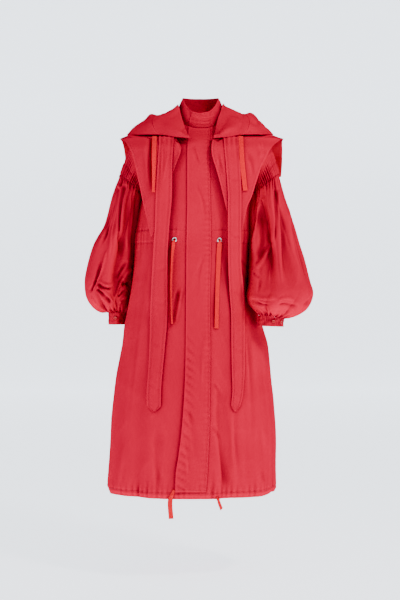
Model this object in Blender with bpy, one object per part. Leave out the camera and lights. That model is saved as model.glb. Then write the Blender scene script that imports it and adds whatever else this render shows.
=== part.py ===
"""A long mod coat in crisp red cloth, worn open-form on nobody: stand collar, hidden front fly,
drawcord waist and hem, gathered balloon sleeves, and over it a hooded cape with two tie straps.

Metres, +Z up, the front faces -Y. The origin is at the neck, where the wearer holds the coat up.
"left" and "right" are the wearer's, so the left pieces are at +X.

Every piece of cloth is a wall of CLOTH thickness between an outer surface, which a function gives
from a table of sections, and the same points moved in along the surface's normal.
"""

from math import atan2, cos, pi, radians, sin

import bmesh
import bpy
import numpy as np
from mathutils import Vector

COLLECTION = "mod_coat"

# ---------------------------------------------------------------- driving sizes, in metres
CLOTH = 0.0015          # thickness of one wall of cloth
SEAM = 0.0003           # gap left between two pieces at a seam
TAPE_WIDTH = 0.015      # the drawcord tapes
TAPE_THICK = 0.0012
HEM_LEVEL = -1.190      # lower edge of the coat
FLY_FOOT = -1.168       # lower edge of the fly
FLY_TOP = -0.0036       # its upper edge, under the collar
NECK_DROP = 0.040       # how far the neckline falls at the front
NAPE_RISE = 0.012       # how far it rises at the back
NECK_ZONE = 0.12        # height below the neck over which that tilt dies out
ARM_TOP = -0.083        # shoulder point of the armhole
ARM_FOOT = -0.235       # underarm point of the armhole
CAPE_HEM = -0.180       # straight lower edge of the cape's back
CAPE_SHOULDER = -0.068  # level of the cape's shoulder tips
EYELET_OUTER = 0.0080   # outer radius of an eyelet's ring
EYELET_WIRE = 0.0016    # radius of the ring's section
EYELET_HOLE = 0.0042    # radius of the hole in the cloth
SNAP_RADIUS = 0.0055
SNAP_THICK = 0.0022
FLY_HEIGHT = CLOTH + 0.0008     # the fly's outer face above the front's
FLY_LAP_LEFT = 0.0140           # how far the fronts reach under the fly's sewn edge
FLY_LAP_RIGHT = 0.0165
STRAP_OVER_COAT = 0.0042        # outer face of a strap above the coat, and above the cape
STRAP_OVER_CAPE = CLOTH + 0.0014
STRAP_REST = -0.64              # level below which a strap lies on the coat
STRAP_RISE = 0.22               # height over which it comes up onto the cape
SEAM_TRIM = 0.07                # degrees that a side or shoulder edge stops short of the seam

# ---------------------------------------------------------------- section tables
# The coat's body, one row for each level: middle, half width, depth to the front and to the
# back, and the power of the section's curve (2 is an ellipse, more is squarer).
COAT = {
    "level": [-1.20, -1.05, -0.94, -0.83, -0.726, -0.675, -0.63, -0.57, -0.48, -0.39, -0.31,
              -0.235, -0.19, -0.15, -0.11, -0.083, -0.06, -0.03, 0.0],
    "middle": [-0.0265, -0.023, -0.022, -0.022, -0.0175, -0.0205, -0.0258, -0.031, -0.028, -0.0245,
               -0.019, -0.009, -0.0064, -0.0040, -0.0016, 0.0, 0.0, 0.0, 0.0],
    "half": [0.2670, 0.2645, 0.258, 0.247, 0.2315, 0.218, 0.2018, 0.1910, 0.185, 0.1845,
             0.179, 0.175, 0.1886, 0.2007, 0.2128, 0.222, 0.190, 0.135, 0.075],
    "front": [0.222, 0.216, 0.208, 0.195, 0.180, 0.174, 0.169, 0.164, 0.157, 0.151,
              0.155, 0.157, 0.155, 0.151, 0.143, 0.134, 0.122, 0.099, 0.080],
    "back": [0.212, 0.205, 0.198, 0.185, 0.170, 0.163, 0.158, 0.153, 0.146, 0.141,
             0.145, 0.148, 0.147, 0.144, 0.139, 0.132, 0.122, 0.099, 0.072],
    "power": [2.2, 2.2, 2.2, 2.2, 2.3, 2.3, 2.3, 2.4, 2.4, 2.4,
              2.4, 2.4, 2.3, 2.3, 2.2, 2.1, 2.0, 2.0, 2.0],
}
# Soft folds of the skirt, growing from the waist to the hem: angle from the front, half width in
# degrees, and how far the crest stands out at the hem, or how far the trough sinks.
SKIRT_FOLDS = {
    "angle": [-72, -46, 30, 54, 76, 106, 129, 152, 175, 198, 221, 244, 264],
    "half": [12, 13, 12, 12, 11, 14, 13, 14, 12, 13, 14, 12, 10],
    "out": [0.007, -0.012, -0.012, 0.009, -0.008, -0.012, 0.013, -0.018, 0.012, -0.016, 0.015,
            -0.012, 0.006],
}
WAIST = -0.395          # level of the drawcord waist
# The armhole lies in a slanted plane through these half widths, and is this deep at its widest.
ARM_HALF_TOP = 0.222
ARM_HALF_FOOT = 0.175
ARM_DEPTH = 0.078
# The cape's sections, on the same plan.
CAPE = {
    "level": [-0.42, -0.34, -0.26, -0.18, -0.115, -0.085, -0.068, -0.063, -0.058, -0.049,
              -0.03, -0.018],
    "middle": [0.0, 0.0, 0.002, 0.003, 0.004, 0.004, 0.004, 0.003, 0.002, 0.0,
               0.0, 0.0],
    "half": [0.262, 0.275, 0.288, 0.296, 0.294, 0.275, 0.261, 0.236, 0.209, 0.1805,
             0.139, 0.1165],
    "front": [0.165, 0.169, 0.173, 0.174, 0.166, 0.155, 0.149, 0.146, 0.142, 0.134,
              0.114, 0.103],
    "back": [0.166, 0.172, 0.178, 0.180, 0.170, 0.158, 0.151, 0.147, 0.142, 0.133,
             0.115, 0.104],
    "power": [2.3, 2.3, 2.3, 2.3, 2.2, 2.1, 2.0, 2.0, 2.0, 2.0,
              2.0, 2.0],
}
# Level of the cape's neckline, where the hood is sewn on, by angle from the front.
CAPE_NECK = {"angle": [0, 20, 45, 70, 90, 130, 180],
             "level": [-0.066, -0.062, -0.054, -0.038, -0.030, -0.024, -0.020]}
# Edges of the cape's fronts: x of the free inner edge and of the armhole edge at each level.
LEFT_CAPE_EDGES = {
    "level": [-0.405, -0.37, -0.341, -0.2975, -0.262, -0.221, -0.173, -0.15, -0.130, -0.115,
              -0.100, -0.086, -0.068],
    "inner": [0.1135, 0.1010, 0.0905, 0.0786, 0.0700, 0.0600, 0.0465, 0.0390, 0.0345, 0.0335,
              0.0340, 0.0355, 0.0385],
    "outer": [0.1185, 0.1265, 0.1345, 0.1432, 0.1588, 0.1722, 0.1885, 0.1985, 0.2090, 0.2166,
              0.2260, 0.2390, 0.2620],
}
RIGHT_CAPE_EDGES = {
    "level": [-0.385, -0.352, -0.32, -0.28, -0.24, -0.205, -0.175, -0.15, -0.127, -0.110,
              -0.095, -0.082, -0.068],
    "inner": [-0.1500, -0.1370, -0.1270, -0.1140, -0.1010, -0.0905, -0.0800, -0.0700, -0.0620,
              -0.0595, -0.0620, -0.0680, -0.0750],
    "outer": [-0.1545, -0.1620, -0.1690, -0.1790, -0.1865, -0.1945, -0.2010, -0.2080, -0.2150,
              -0.2215, -0.2290, -0.2390, -0.2565],
}
# Side edges of the cape's back, below the shoulder tips.
BACK_CAPE_EDGES = {"level": [-0.18, -0.13, -0.10, -0.085, -0.068],
                   "left": [0.264, 0.267, 0.2665, 0.2650, 0.2630],
                   "right": [-0.243, -0.2455, -0.2480, -0.2500, -0.2540]}
# The fly: x of its free edge and of its sewn edge at each level.
FLY = {
    "level": [-1.168, -1.115, -1.057, -0.985, -0.912, -0.827, -0.735, -0.582, -0.40, -0.27,
              -0.15, -0.05, -0.004],
    "free": [-0.0765, -0.0750, -0.0664, -0.0577, -0.0519, -0.0477, -0.0457, -0.0447, -0.0433,
             -0.0408, -0.0409, -0.0390, -0.0370],
    "sewn": [0.0170, 0.0210, 0.0240, 0.0270, 0.0285, 0.0300, 0.0305, 0.0290, 0.0325,
             0.0300, 0.0275, 0.0290, 0.0300],
}
# Sleeve stations below the armhole: middle, half width across and half depth, tilt of the
# section in degrees (its outer end up), the swing of small gathers and of broad folds, and the
# depth of the one deep hollow at the front.
LEFT_SLEEVE = {
    "x": [0.2085, 0.2115, 0.2185, 0.2315, 0.2445, 0.2515, 0.2510, 0.2440, 0.2360, 0.2280, 0.2215, 0.2205],
    "y": [-0.005, -0.007, -0.012, -0.020, -0.038, -0.072, -0.094, -0.104, -0.109, -0.110, -0.110, -0.112],
    "z": [-0.205, -0.222, -0.270, -0.338, -0.438, -0.518, -0.562, -0.598, -0.618, -0.628, -0.634, -0.664],
    "across": [0.0524, 0.0490, 0.0520, 0.0575, 0.0725, 0.0895, 0.0990, 0.0870, 0.0630, 0.0450,
               0.0395, 0.0385],
    "depth": [0.0680, 0.0700, 0.0790, 0.0860, 0.0960, 0.0980, 0.0960, 0.0880, 0.0660, 0.0480, 0.0400, 0.0380],
    "tilt": [43, 38, 27, 14, 5, 2, 0, -4, -8, -10, -9, -2],
    "gather": [0.0, 0.0040, 0.0040, 0.0020, 0.0005, 0.0, 0.0, 0.0010, 0.0025, 0.0022, 0.0, 0.0],
    "fold": [0.0, 0.0, 0.0025, 0.0050, 0.0060, 0.0055, 0.0050, 0.0040, 0.0020, 0.0, 0.0, 0.0],
    "hollow": [0.0, 0.0, 0.012, 0.026, 0.032, 0.014, 0.003, 0.0, 0.0, 0.0, 0.0, 0.0],
}
RIGHT_SLEEVE = {
    "x": [-0.2225, -0.2255, -0.2400, -0.2555, -0.2805, -0.2960, -0.2990, -0.2975, -0.2890, -0.2755,
          -0.2670, -0.2690],
    "y": [-0.002, -0.002, 0.002, 0.008, 0.018, 0.026, 0.030, 0.033, 0.036, 0.036, 0.036, 0.035],
    "z": [-0.2075, -0.226, -0.270, -0.350, -0.420, -0.500, -0.540, -0.575, -0.601, -0.615, -0.622, -0.657],
    "across": [0.0470, 0.0465, 0.0470, 0.0475, 0.0620, 0.0690, 0.0695, 0.0640, 0.0520, 0.0400,
               0.0290, 0.0270],
    "depth": [0.0680, 0.0700, 0.0790, 0.0850, 0.0920, 0.0940, 0.0920, 0.0830, 0.0650, 0.0480, 0.0400, 0.0370],
    "tilt": [45, 40, 27, 14, 6, 2, 0, -2, -4, -4, 0, 0],
    "gather": [0.0, 0.0040, 0.0040, 0.0020, 0.0005, 0.0, 0.0, 0.0010, 0.0025, 0.0022, 0.0, 0.0],
    "fold": [0.0, 0.0, 0.0025, 0.0045, 0.0050, 0.0045, 0.0040, 0.0030, 0.0015, 0.0, 0.0, 0.0],
    "hollow": [0.0, 0.0, 0.006, 0.012, 0.014, 0.016, 0.010, 0.004, 0.0, 0.0, 0.0, 0.0],
}
GATHERS = 24            # small gathers round each sleeve
FOLDS = 7               # broad folds round each sleeve
HOLLOW_AT = 114         # middle of the sleeve's deep hollow, in degrees round from the outer side
HOLLOW_HALF = 26        # and its half width
# The hood, lying back. Each station runs from the seam on the cape out to the fold, then up over
# the crown to the free rim by the neck. The fold is given on the cape: angle, level and height.
HOOD = {
    "seam_angle": [14, 30, 44, 57, 74, 96, 122, 152, 180],
    "fold_angle": [14, 30, 45, 62, 81, 98, 118, 150, 180],
    "fold_level": [-0.069, -0.067, -0.062, -0.0630, -0.0620, -0.060, -0.075, -0.140, -0.195],
    "fold_height": [0.004, 0.005, 0.007, 0.008, 0.009, 0.014, 0.024, 0.026, 0.026],
    "crown_x": [0.0400, 0.0640, 0.0950, 0.1250, 0.1420, 0.1580, 0.1600, 0.1000, 0.0],
    "crown_y": [-0.1290, -0.1230, -0.1030, -0.0680, -0.0200, 0.0350, 0.0950, 0.1830, 0.2170],
    "crown_z": [-0.0760, -0.0500, -0.0260, -0.0020, 0.0080, 0.0120, 0.0270, -0.0100, -0.0600],
    "rim_x": [0.0420, 0.0510, 0.0610, 0.0680, 0.0720, 0.0820, 0.0940, 0.0700, 0.0],
    "rim_y": [-0.1230, -0.0980, -0.0660, -0.0380, -0.0070, 0.0300, 0.0700, 0.1180, 0.1400],
    "rim_z": [-0.0680, -0.0340, 0.0040, 0.0320, 0.0440, 0.0330, 0.0200, 0.0160, 0.0160],
    "sag": [0.0, 0.0, 0.001, 0.003, 0.006, 0.010, 0.010, 0.010, 0.008],
    # how much lower the crown and rim lie on the wearer's right
    "right_drop": [0.0, 0.001, 0.003, 0.005, 0.010, 0.012, 0.012, 0.004, 0.0],
}
# Places, counted in stations, where a side panel meets the middle panel: at the fold and the rim.
HOOD_SEAM_FOLD = 2.1
HOOD_SEAM_RIM = 5.2
FOLD_PLACE = 4          # places of the fold and the rim in a station's list of points
RIM_PLACE = 8
# The hood's lower layer above the cape: base height, and share of the fold's height.
HOOD_RAISED = 0.0055
HOOD_UNDER = (0.0075, 0.50)
HOOD_NEAR = (0.0075, 0.55)
HOOD_FOLD = (0.0060, 1.0)
HOOD_ROUND = 0.008      # how far the layer over the fold bulges
# Hanging tie straps: x of both edges, and the height of the strap above the coat.
LEFT_STRAP = {
    "level": [-0.925, -0.905, -0.863, -0.805, -0.735, -0.644, -0.551, -0.459, -0.380, -0.274,
              -0.160, -0.114, -0.072],
    "inner": [0.1060, 0.0971, 0.1000, 0.0979, 0.0966, 0.0939, 0.0878, 0.0848, 0.0842, 0.0841,
              0.0775, 0.0731, 0.0712],
    "outer": [0.1120, 0.1223, 0.1300, 0.1345, 0.1353, 0.1342, 0.1313, 0.1250, 0.1250, 0.1260,
              0.1220, 0.1195, 0.1184],
}
RIGHT_STRAP = {
    "level": [-0.924, -0.906, -0.865, -0.806, -0.736, -0.619, -0.449, -0.393, -0.352, -0.256,
              -0.160, -0.114, -0.072],
    "inner": [-0.1380, -0.1203, -0.1195, -0.1154, -0.1092, -0.1009, -0.1013, -0.0985, -0.0957,
              -0.0877, -0.0865, -0.0840, -0.0823],
    "outer": [-0.1440, -0.1632, -0.1650, -0.1614, -0.1587, -0.1554, -0.1464, -0.1430, -0.1402,
              -0.1374, -0.1313, -0.1290, -0.1275],
}
# The collar band, by angle from the front: level of its top edge and size of its top ring.
COLLAR_TOP = {"angle": [0, 25, 50, 75, 95, 140, 180],
              "z": [0.0060, 0.0120, 0.0310, 0.0560, 0.0650, 0.0690, 0.0700]}
COLLAR_HALF = 0.0560
COLLAR_FRONT = 0.0740
COLLAR_BACK = 0.0600
COLLAR_LAP = 0.0024     # the band's inner end lies this far inside its outer end
COLLAR_SWELL = 0.0040   # how far the band bulges between its edges
COLLAR_START = -27.0    # angles of the band's two ends, the inner end past a full turn
COLLAR_END = 352.0
COLLAR_LIFT = SEAM      # of its lower edge above the neckline

# Eyelets of the waist cord: x and level.
EYELETS = {"left": (0.0588, -0.3963), "right": (-0.0805, -0.3947)}
# Waist tapes hanging from the eyelets: x, level, height above the coat, and turn in degrees from
# lying flat to standing on edge.
LEFT_WAIST_TAPE = {
    "x": [0.0587, 0.0586, 0.0585, 0.0580, 0.0568, 0.0552, 0.0531, 0.0510, 0.0488],
    "level": [-0.3975, -0.4010, -0.4050, -0.4110, -0.4300, -0.4750, -0.5300, -0.6000, -0.6700],
    "height": [0.0032, 0.0050, 0.0053, 0.0048, 0.0038, 0.0032, 0.0034, 0.0036, 0.0038],
    "turn": [0, 0, 0, 0, 0, 5, 8, 8, 10],
    "wide": [0.35, 0.50, 0.75, 1, 1, 1, 1, 1, 1],
}
RIGHT_WAIST_TAPE = {
    "x": [-0.0806, -0.0808, -0.0811, -0.0817, -0.0835, -0.0862, -0.0884, -0.0880, -0.0855],
    "level": [-0.3960, -0.3995, -0.4040, -0.4110, -0.4300, -0.4650, -0.5300, -0.5900, -0.6560],
    "height": [0.0036, 0.0058, 0.0085, 0.0100, 0.0102, 0.0102, 0.0098, 0.0094, 0.0092],
    "turn": [8, 18, 35, 55, 72, 80, 80, 80, 78],
    "wide": [0.35, 0.50, 0.75, 1, 1, 1, 1, 1, 1],
}
# Tapes from the hood's edge, lying on the cape: x, level, height above the strap's height, turn.
LEFT_HOOD_TAPE = {
    "x": [0.1245, 0.1258, 0.1280, 0.1330, 0.1374],
    "level": [-0.0700, -0.1150, -0.1580, -0.2040, -0.2438],
    "height": [0.0018, 0.0018, 0.0018, 0.0018, 0.0018],
    "turn": [0, 0, 0, 0, 0],
    "wide": [1, 1, 1, 1, 1],
}
RIGHT_HOOD_TAPE = {
    "x": [-0.1425, -0.1422, -0.1416, -0.1418, -0.1422],
    "level": [-0.0700, -0.1150, -0.1700, -0.2100, -0.2503],
    "height": [0.0002, 0.0018, 0.0056, 0.0066, 0.0070],
    "turn": [15, 25, 55, 62, 66],
    "wide": [1, 1, 1, 1, 1],
}
# Free ends of the hem cord: x, level, height above the coat, turn and share of the full width.
LEFT_HEM_TAPE = {
    "x": [0.0500, 0.0520, 0.0535, 0.0560, 0.0640],
    "level": [-1.1835, -1.1875, -1.1930, -1.2020, -1.2210],
    "height": [0.0000, 0.0012, 0.0040, 0.0048, 0.0040],
    "turn": [15, 30, 50, 60, 60],
    "wide": [0.3, 0.5, 0.8, 1, 1],
}
RIGHT_HEM_TAPE = {
    "x": [-0.0815, -0.0832, -0.0880, -0.0920, -0.0925, -0.0910, -0.0895],
    "level": [-1.1600, -1.1680, -1.1800, -1.1930, -1.2110, -1.2300, -1.2493],
    "height": [0.0013, 0.0016, 0.0020, 0.0022, 0.0022, 0.0018, 0.0020],
    "turn": [5, 8, 8, 5, 3, 0, -5],
    "wide": [0.4, 0.6, 0.8, 1, 1, 1, 1],
}
# Snap buttons on the cuffs: phase round the cuff.
CUFF_SNAPS = {"left": (40, 82), "right": (84,)}


# ---------------------------------------------------------------- reading the tables
def smooth(table, column, at, key="level"):
    """A value of the table's column, on a curve through its rows that never overshoots."""
    xs = np.array(table[key], float)
    ys = np.array(table[column], float)
    at = min(max(at, xs[0]), xs[-1])
    i = min(max(int(np.searchsorted(xs, at)) - 1, 0), len(xs) - 2)
    steps = np.diff(xs)
    slopes = np.diff(ys) / steps

    def tangent(k):
        if k in (0, len(xs) - 1):
            return slopes[min(k, len(slopes) - 1)]
        before = slopes[k - 1]
        after = slopes[k]
        if before * after <= 0:
            return 0.0
        return 2 * before * after / (before + after)

    t = (at - xs[i]) / steps[i]
    rise = ys[i] * (1 + 2 * t) * (1 - t) ** 2 + ys[i + 1] * t * t * (3 - 2 * t)
    lean = tangent(i) * t * (1 - t) ** 2 - tangent(i + 1) * t * t * (1 - t)
    return float(rise + lean * steps[i])


def through(points, at):
    """A point at the place `at`, counted in points, on a smooth curve through the points."""
    last = len(points) - 1
    i = min(max(int(at), 0), last - 1)
    t = at - i
    p1 = points[i]
    p2 = points[i + 1]
    p0 = points[i - 1] if i > 0 else p1 * 2 - p2
    p3 = points[i + 2] if i + 2 <= last else p2 * 2 - p1
    bend = (p0 * 2 - p1 * 5 + p2 * 4 - p3) * t * t + (p1 * 3 - p0 - p2 * 3 + p3) * t ** 3
    return (p1 * 2 + (p2 - p0) * t + bend) * 0.5


# ---------------------------------------------------------------- the coat's and cape's forms
def arm_share(level):
    """Place of a level between the underarm, 0, and the shoulder point, 1."""
    return min(max((level - ARM_FOOT) / (ARM_TOP - ARM_FOOT), 0), 1)


def arm_edge(level, side):
    """x of the armhole's plane."""
    half = ARM_HALF_FOOT + (ARM_HALF_TOP - ARM_HALF_FOOT) * arm_share(level)
    return smooth(COAT, "middle", level) + side * half


def half_width(table, level):
    """Half width of a section. Beside the armhole the coat's section runs on into the sleeve."""
    share = arm_share(level)
    if table is not COAT or share in (0, 1):
        return smooth(table, "half", level)
    power = smooth(COAT, "power", level)
    across = ARM_DEPTH * (1 - (2 * share - 1) ** 2) ** 0.5
    cut = (1 - (across / smooth(COAT, "front", level)) ** power) ** (1 / power)
    return (ARM_HALF_FOOT + (ARM_HALF_TOP - ARM_HALF_FOOT) * share) / cut


def bump(offset):
    """1 at an offset of 0, falling smoothly to 0 at -1 and 1."""
    return cos(offset * pi / 2) ** 2 if abs(offset) < 1 else 0.0


def drape(angle, level):
    """How far the skirt's folds stand out at an angle and a level."""
    grown = min(max((WAIST - level) / (WAIST - HEM_LEVEL), 0), 1)
    turned = (angle + 80) % 360 - 80
    rows = zip(SKIRT_FOLDS["angle"], SKIRT_FOLDS["half"], SKIRT_FOLDS["out"])
    return grown * sum(out * bump((turned - centre) / half) for centre, half, out in rows)


def ring(table, angle, level):
    """The point of a section table at an angle from the front, in degrees, and a level."""
    turn = radians(angle)
    half = half_width(table, level)
    depth = smooth(table, "front" if cos(turn) > 0 else "back", level)
    power = smooth(table, "power", level)
    reach = (abs(sin(turn) / half) ** power + abs(cos(turn) / depth) ** power) ** (-1 / power)
    if table is COAT and level < WAIST:
        reach += drape(angle, level)
    near_neck = min(max((level + NECK_ZONE) / NECK_ZONE, 0), 1)
    blend = near_neck * near_neck * (3 - 2 * near_neck)
    tilt = -NECK_DROP * max(cos(turn), 0) ** 1.5 + NAPE_RISE * max(-cos(turn), 0)
    x = smooth(table, "middle", level) + reach * sin(turn)
    return Vector((x, -reach * cos(turn), level + blend * tilt))


def angle_at(table, x, level, back=False):
    """The angle, in degrees, at which a section reaches this x."""
    half = half_width(table, level)
    power = smooth(table, "power", level)
    off = min(max((x - smooth(table, "middle", level)) / half, -1), 1)
    depth = smooth(table, "back" if back else "front", level)
    y = depth * (1 - abs(off) ** power) ** (1 / power)
    return atan2(off * half, -y if back else y) * 180 / pi


def normal_of(surface, u, v, step_u, step_v):
    """The unit normal of a surface function, on the side that its two directions turn to."""
    along = surface(u + step_u, v) - surface(u - step_u, v)
    up = surface(u, v + step_v) - surface(u, v - step_v)
    return along.cross(up).normalized()


def coat_point(angle, level, height=0.0):
    at = ring(COAT, angle, level)
    if height:
        at = at + coat_normal(angle, level) * height
    return at


def coat_normal(angle, level):
    return normal_of(lambda a, b: ring(COAT, a, b), angle, level, 0.5, 0.002)


def cape_point(angle, level, height=0.0):
    at = ring(CAPE, angle, level)
    if height:
        at = at + cape_normal(angle, level) * height
    return at


def cape_normal(angle, level):
    return normal_of(lambda a, b: ring(CAPE, a, b), angle, level, 0.5, 0.001)


# ---------------------------------------------------------------- Blender helpers
def clear_scene():
    for obj in list(bpy.data.objects):
        bpy.data.objects.remove(obj, do_unlink=True)


def material(name, colour, roughness, metallic=0.0):
    made = bpy.data.materials.new(name)
    made.use_nodes = True
    shader = made.node_tree.nodes["Principled BSDF"]
    shader.inputs["Base Color"].default_value = (*colour, 1)
    shader.inputs["Roughness"].default_value = roughness
    shader.inputs["Metallic"].default_value = metallic
    return made


def place(name, mesh, collection, surface):
    mesh.materials.append(surface)
    obj = bpy.data.objects.new(name, mesh)
    collection.objects.link(obj)
    return obj


def wall(name, rows, normals, collection, surface, thick=CLOTH, closed=False):
    """A closed wall: the rows of points, the same points moved in, and the edges between them."""
    across = len(rows[0])
    bm = bmesh.new()
    outer = [[bm.verts.new(p) for p in row] for row in rows]
    inner = [[bm.verts.new(p - n * thick) for p, n in zip(row, ns)] for row, ns in zip(rows, normals)]
    spans = across if closed else across - 1
    for i in range(len(rows) - 1):
        for j in range(spans):
            k = (j + 1) % across
            bm.faces.new((outer[i][j], outer[i][k], outer[i + 1][k], outer[i + 1][j]))
            bm.faces.new((inner[i][j], inner[i + 1][j], inner[i + 1][k], inner[i][k]))
    for j in range(spans):
        k = (j + 1) % across
        bm.faces.new((outer[0][k], outer[0][j], inner[0][j], inner[0][k]))
        bm.faces.new((outer[-1][j], outer[-1][k], inner[-1][k], inner[-1][j]))
    if not closed:
        for i in range(len(rows) - 1):
            bm.faces.new((outer[i][0], outer[i + 1][0], inner[i + 1][0], inner[i][0]))
            bm.faces.new((outer[i + 1][-1], outer[i][-1], inner[i][-1], inner[i + 1][-1]))
    bmesh.ops.recalc_face_normals(bm, faces=bm.faces)
    mesh = bpy.data.meshes.new(name)
    bm.to_mesh(mesh)
    bm.free()
    return place(name, mesh, collection, surface)


def panel(name, point, normal, angles, levels, collection, surface, height=0.0, thick=CLOTH):
    """A wall over the form that `point` gives, between two angles that change with the level."""
    rows = []
    normals = []
    for level in levels:
        row = angles(level)
        rows.append([point(angle, level, height) for angle in row])
        normals.append([normal(angle, level) for angle in row])
    return wall(name, rows, normals, collection, surface, thick)


def spaced(start, end, count):
    return [start + (end - start) * i / (count - 1) for i in range(count)]


# ---------------------------------------------------------------- the coat's body
BODY_LEVELS = [HEM_LEVEL, -1.10, -1.0, -0.90, -0.80, -0.70, -0.60, -0.50, -0.43, -0.39, -0.34, -0.28]
ARM_MIDDLE = (ARM_TOP + ARM_FOOT) / 2
ARM_LEVELS = [ARM_MIDDLE - (ARM_TOP - ARM_FOOT) / 2 * cos(radians(p)) for p in (0, 30, 60, 90, 120, 150, 180)]
YOKE_LEVELS = ARM_LEVELS + [-0.066, -0.045, -0.024, -0.0010]


def side_angle(level, side, back):
    """Angle of the side seam, the armhole edge or the shoulder seam, in degrees."""
    if level <= ARM_FOOT or level >= ARM_TOP:
        return side * (90 + (SEAM_TRIM if back else -SEAM_TRIM))
    found = angle_at(COAT, arm_edge(level, side), level, back)
    return found % 360 if back and side < 0 else found


def build_body(parts, cloth):
    levels = BODY_LEVELS + YOKE_LEVELS

    def left_angles(level):
        start = angle_at(COAT, smooth(FLY, "sewn", level) - FLY_LAP_LEFT, level)
        return spaced(start, side_angle(level, 1, False), 12)

    def right_angles(level):
        start = angle_at(COAT, smooth(FLY, "sewn", level) - FLY_LAP_RIGHT, level)
        return spaced(side_angle(level, -1, False), start, 13)

    def back_angles(level):
        end = side_angle(level, -1, True)
        return spaced(side_angle(level, 1, True), end if end > 0 else end + 360, 19)

    panel("front_left", coat_point, coat_normal, left_angles, levels, parts, cloth)
    panel("front_right", coat_point, coat_normal, right_angles, levels, parts, cloth)
    panel("back", coat_point, coat_normal, back_angles, levels, parts, cloth)

    def fly_angles(level):
        free = angle_at(COAT, smooth(FLY, "free", level), level)
        sewn = angle_at(COAT, smooth(FLY, "sewn", level), level)
        return spaced(free, sewn, 7)

    levels = [FLY_FOOT] + levels[1:-1] + [FLY_TOP]
    panel("fly", coat_point, coat_normal, fly_angles, levels, parts, cloth,
          height=FLY_HEIGHT)


def collar_point(angle, up):
    """The collar band: angle runs on past 360 where its inner end passes under its outer end."""
    turned = angle % 360
    away = min(turned, 360 - turned)
    base = ring(COAT, turned, -0.0005)
    turn = radians(turned)
    depth = COLLAR_FRONT if cos(turn) > 0 else COLLAR_BACK
    top_z = smooth(COLLAR_TOP, "z", away, key="angle")
    top = Vector((COLLAR_HALF * sin(turn), -depth * cos(turn), top_z))
    base = base + Vector((0, 0, COLLAR_LIFT))
    at = base.lerp(top, up)
    swell = COLLAR_SWELL * sin(pi * up)
    inward = COLLAR_LAP * (angle - COLLAR_START) / (COLLAR_END - COLLAR_START)
    return at + Vector((sin(turn), -cos(turn), 0)) * (swell + COLLAR_LAP - inward)


def build_collar(parts, cloth):
    rows = []
    normals = []
    for up in spaced(0, 1, 5):
        angles = spaced(COLLAR_START, COLLAR_END, 31)
        rows.append([collar_point(a, up) for a in angles])
        normals.append([normal_of(collar_point, a, up, 1.0, 0.02) for a in angles])
    wall("collar", rows, normals, parts, cloth)


# ---------------------------------------------------------------- the cape
def build_cape(parts, cloth):
    shoulder = CAPE_SHOULDER
    lower = [-0.34, -0.2975, -0.262, -0.221, -0.18, -0.15, -0.127, -0.110, -0.095, -0.083, shoulder]

    def front(name, edges, side):
        """Rows go up the front to the shoulder tip, then over the shoulder to the neckline."""
        tip = edges["level"][0]
        levels = [tip, tip + 0.02] + [v for v in lower if v > tip + 0.03]
        rows = []
        normals = []
        for level in levels:
            inner = angle_at(CAPE, smooth(edges, "inner", level), level)
            outer = angle_at(CAPE, smooth(edges, "outer", level), level)
            if level == shoulder:
                outer = side * (90 - SEAM_TRIM)
            row = spaced(*sorted((inner, outer)), 8)
            rows.append([cape_point(a, level) for a in row])
            normals.append([cape_normal(a, level) for a in row])
        inner = angle_at(CAPE, smooth(edges, "inner", shoulder), shoulder)
        for share in (0.33, 0.66, 1.0):
            start, end = sorted((inner, side * (90 - SEAM_TRIM)))
            angles = spaced(start, end, 8)
            tops = [smooth(CAPE_NECK, "level", abs(a), key="angle") for a in angles]
            levels = [shoulder + (top - shoulder) * share for top in tops]
            rows.append([cape_point(a, v) for a, v in zip(angles, levels)])
            normals.append([cape_normal(a, v) for a, v in zip(angles, levels)])
        wall(name, rows, normals, parts, cloth)

    front("cape_front_left", LEFT_CAPE_EDGES, 1)
    front("cape_front_right", RIGHT_CAPE_EDGES, -1)

    rows = []
    normals = []
    for level in (CAPE_HEM, -0.155, -0.127, -0.104, -0.086, shoulder):
        start = angle_at(CAPE, smooth(BACK_CAPE_EDGES, "left", level), level, back=True)
        end = angle_at(CAPE, smooth(BACK_CAPE_EDGES, "right", level), level, back=True) % 360
        if level == shoulder:
            start = 90 + SEAM_TRIM
            end = 270 - SEAM_TRIM
        angles = spaced(start, end, 17)
        rows.append([cape_point(a, level) for a in angles])
        normals.append([cape_normal(a, level) for a in angles])
    for share in (0.33, 0.66, 1.0):
        angles = spaced(90 + SEAM_TRIM, 270 - SEAM_TRIM, 17)
        tops = [smooth(CAPE_NECK, "level", min(a, 360 - a), key="angle") for a in angles]
        levels = [shoulder + (top - shoulder) * share for top in tops]
        rows.append([cape_point(a, v) for a, v in zip(angles, levels)])
        normals.append([cape_normal(a, v) for a, v in zip(angles, levels)])
    wall("cape_back", rows, normals, parts, cloth)


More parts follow.
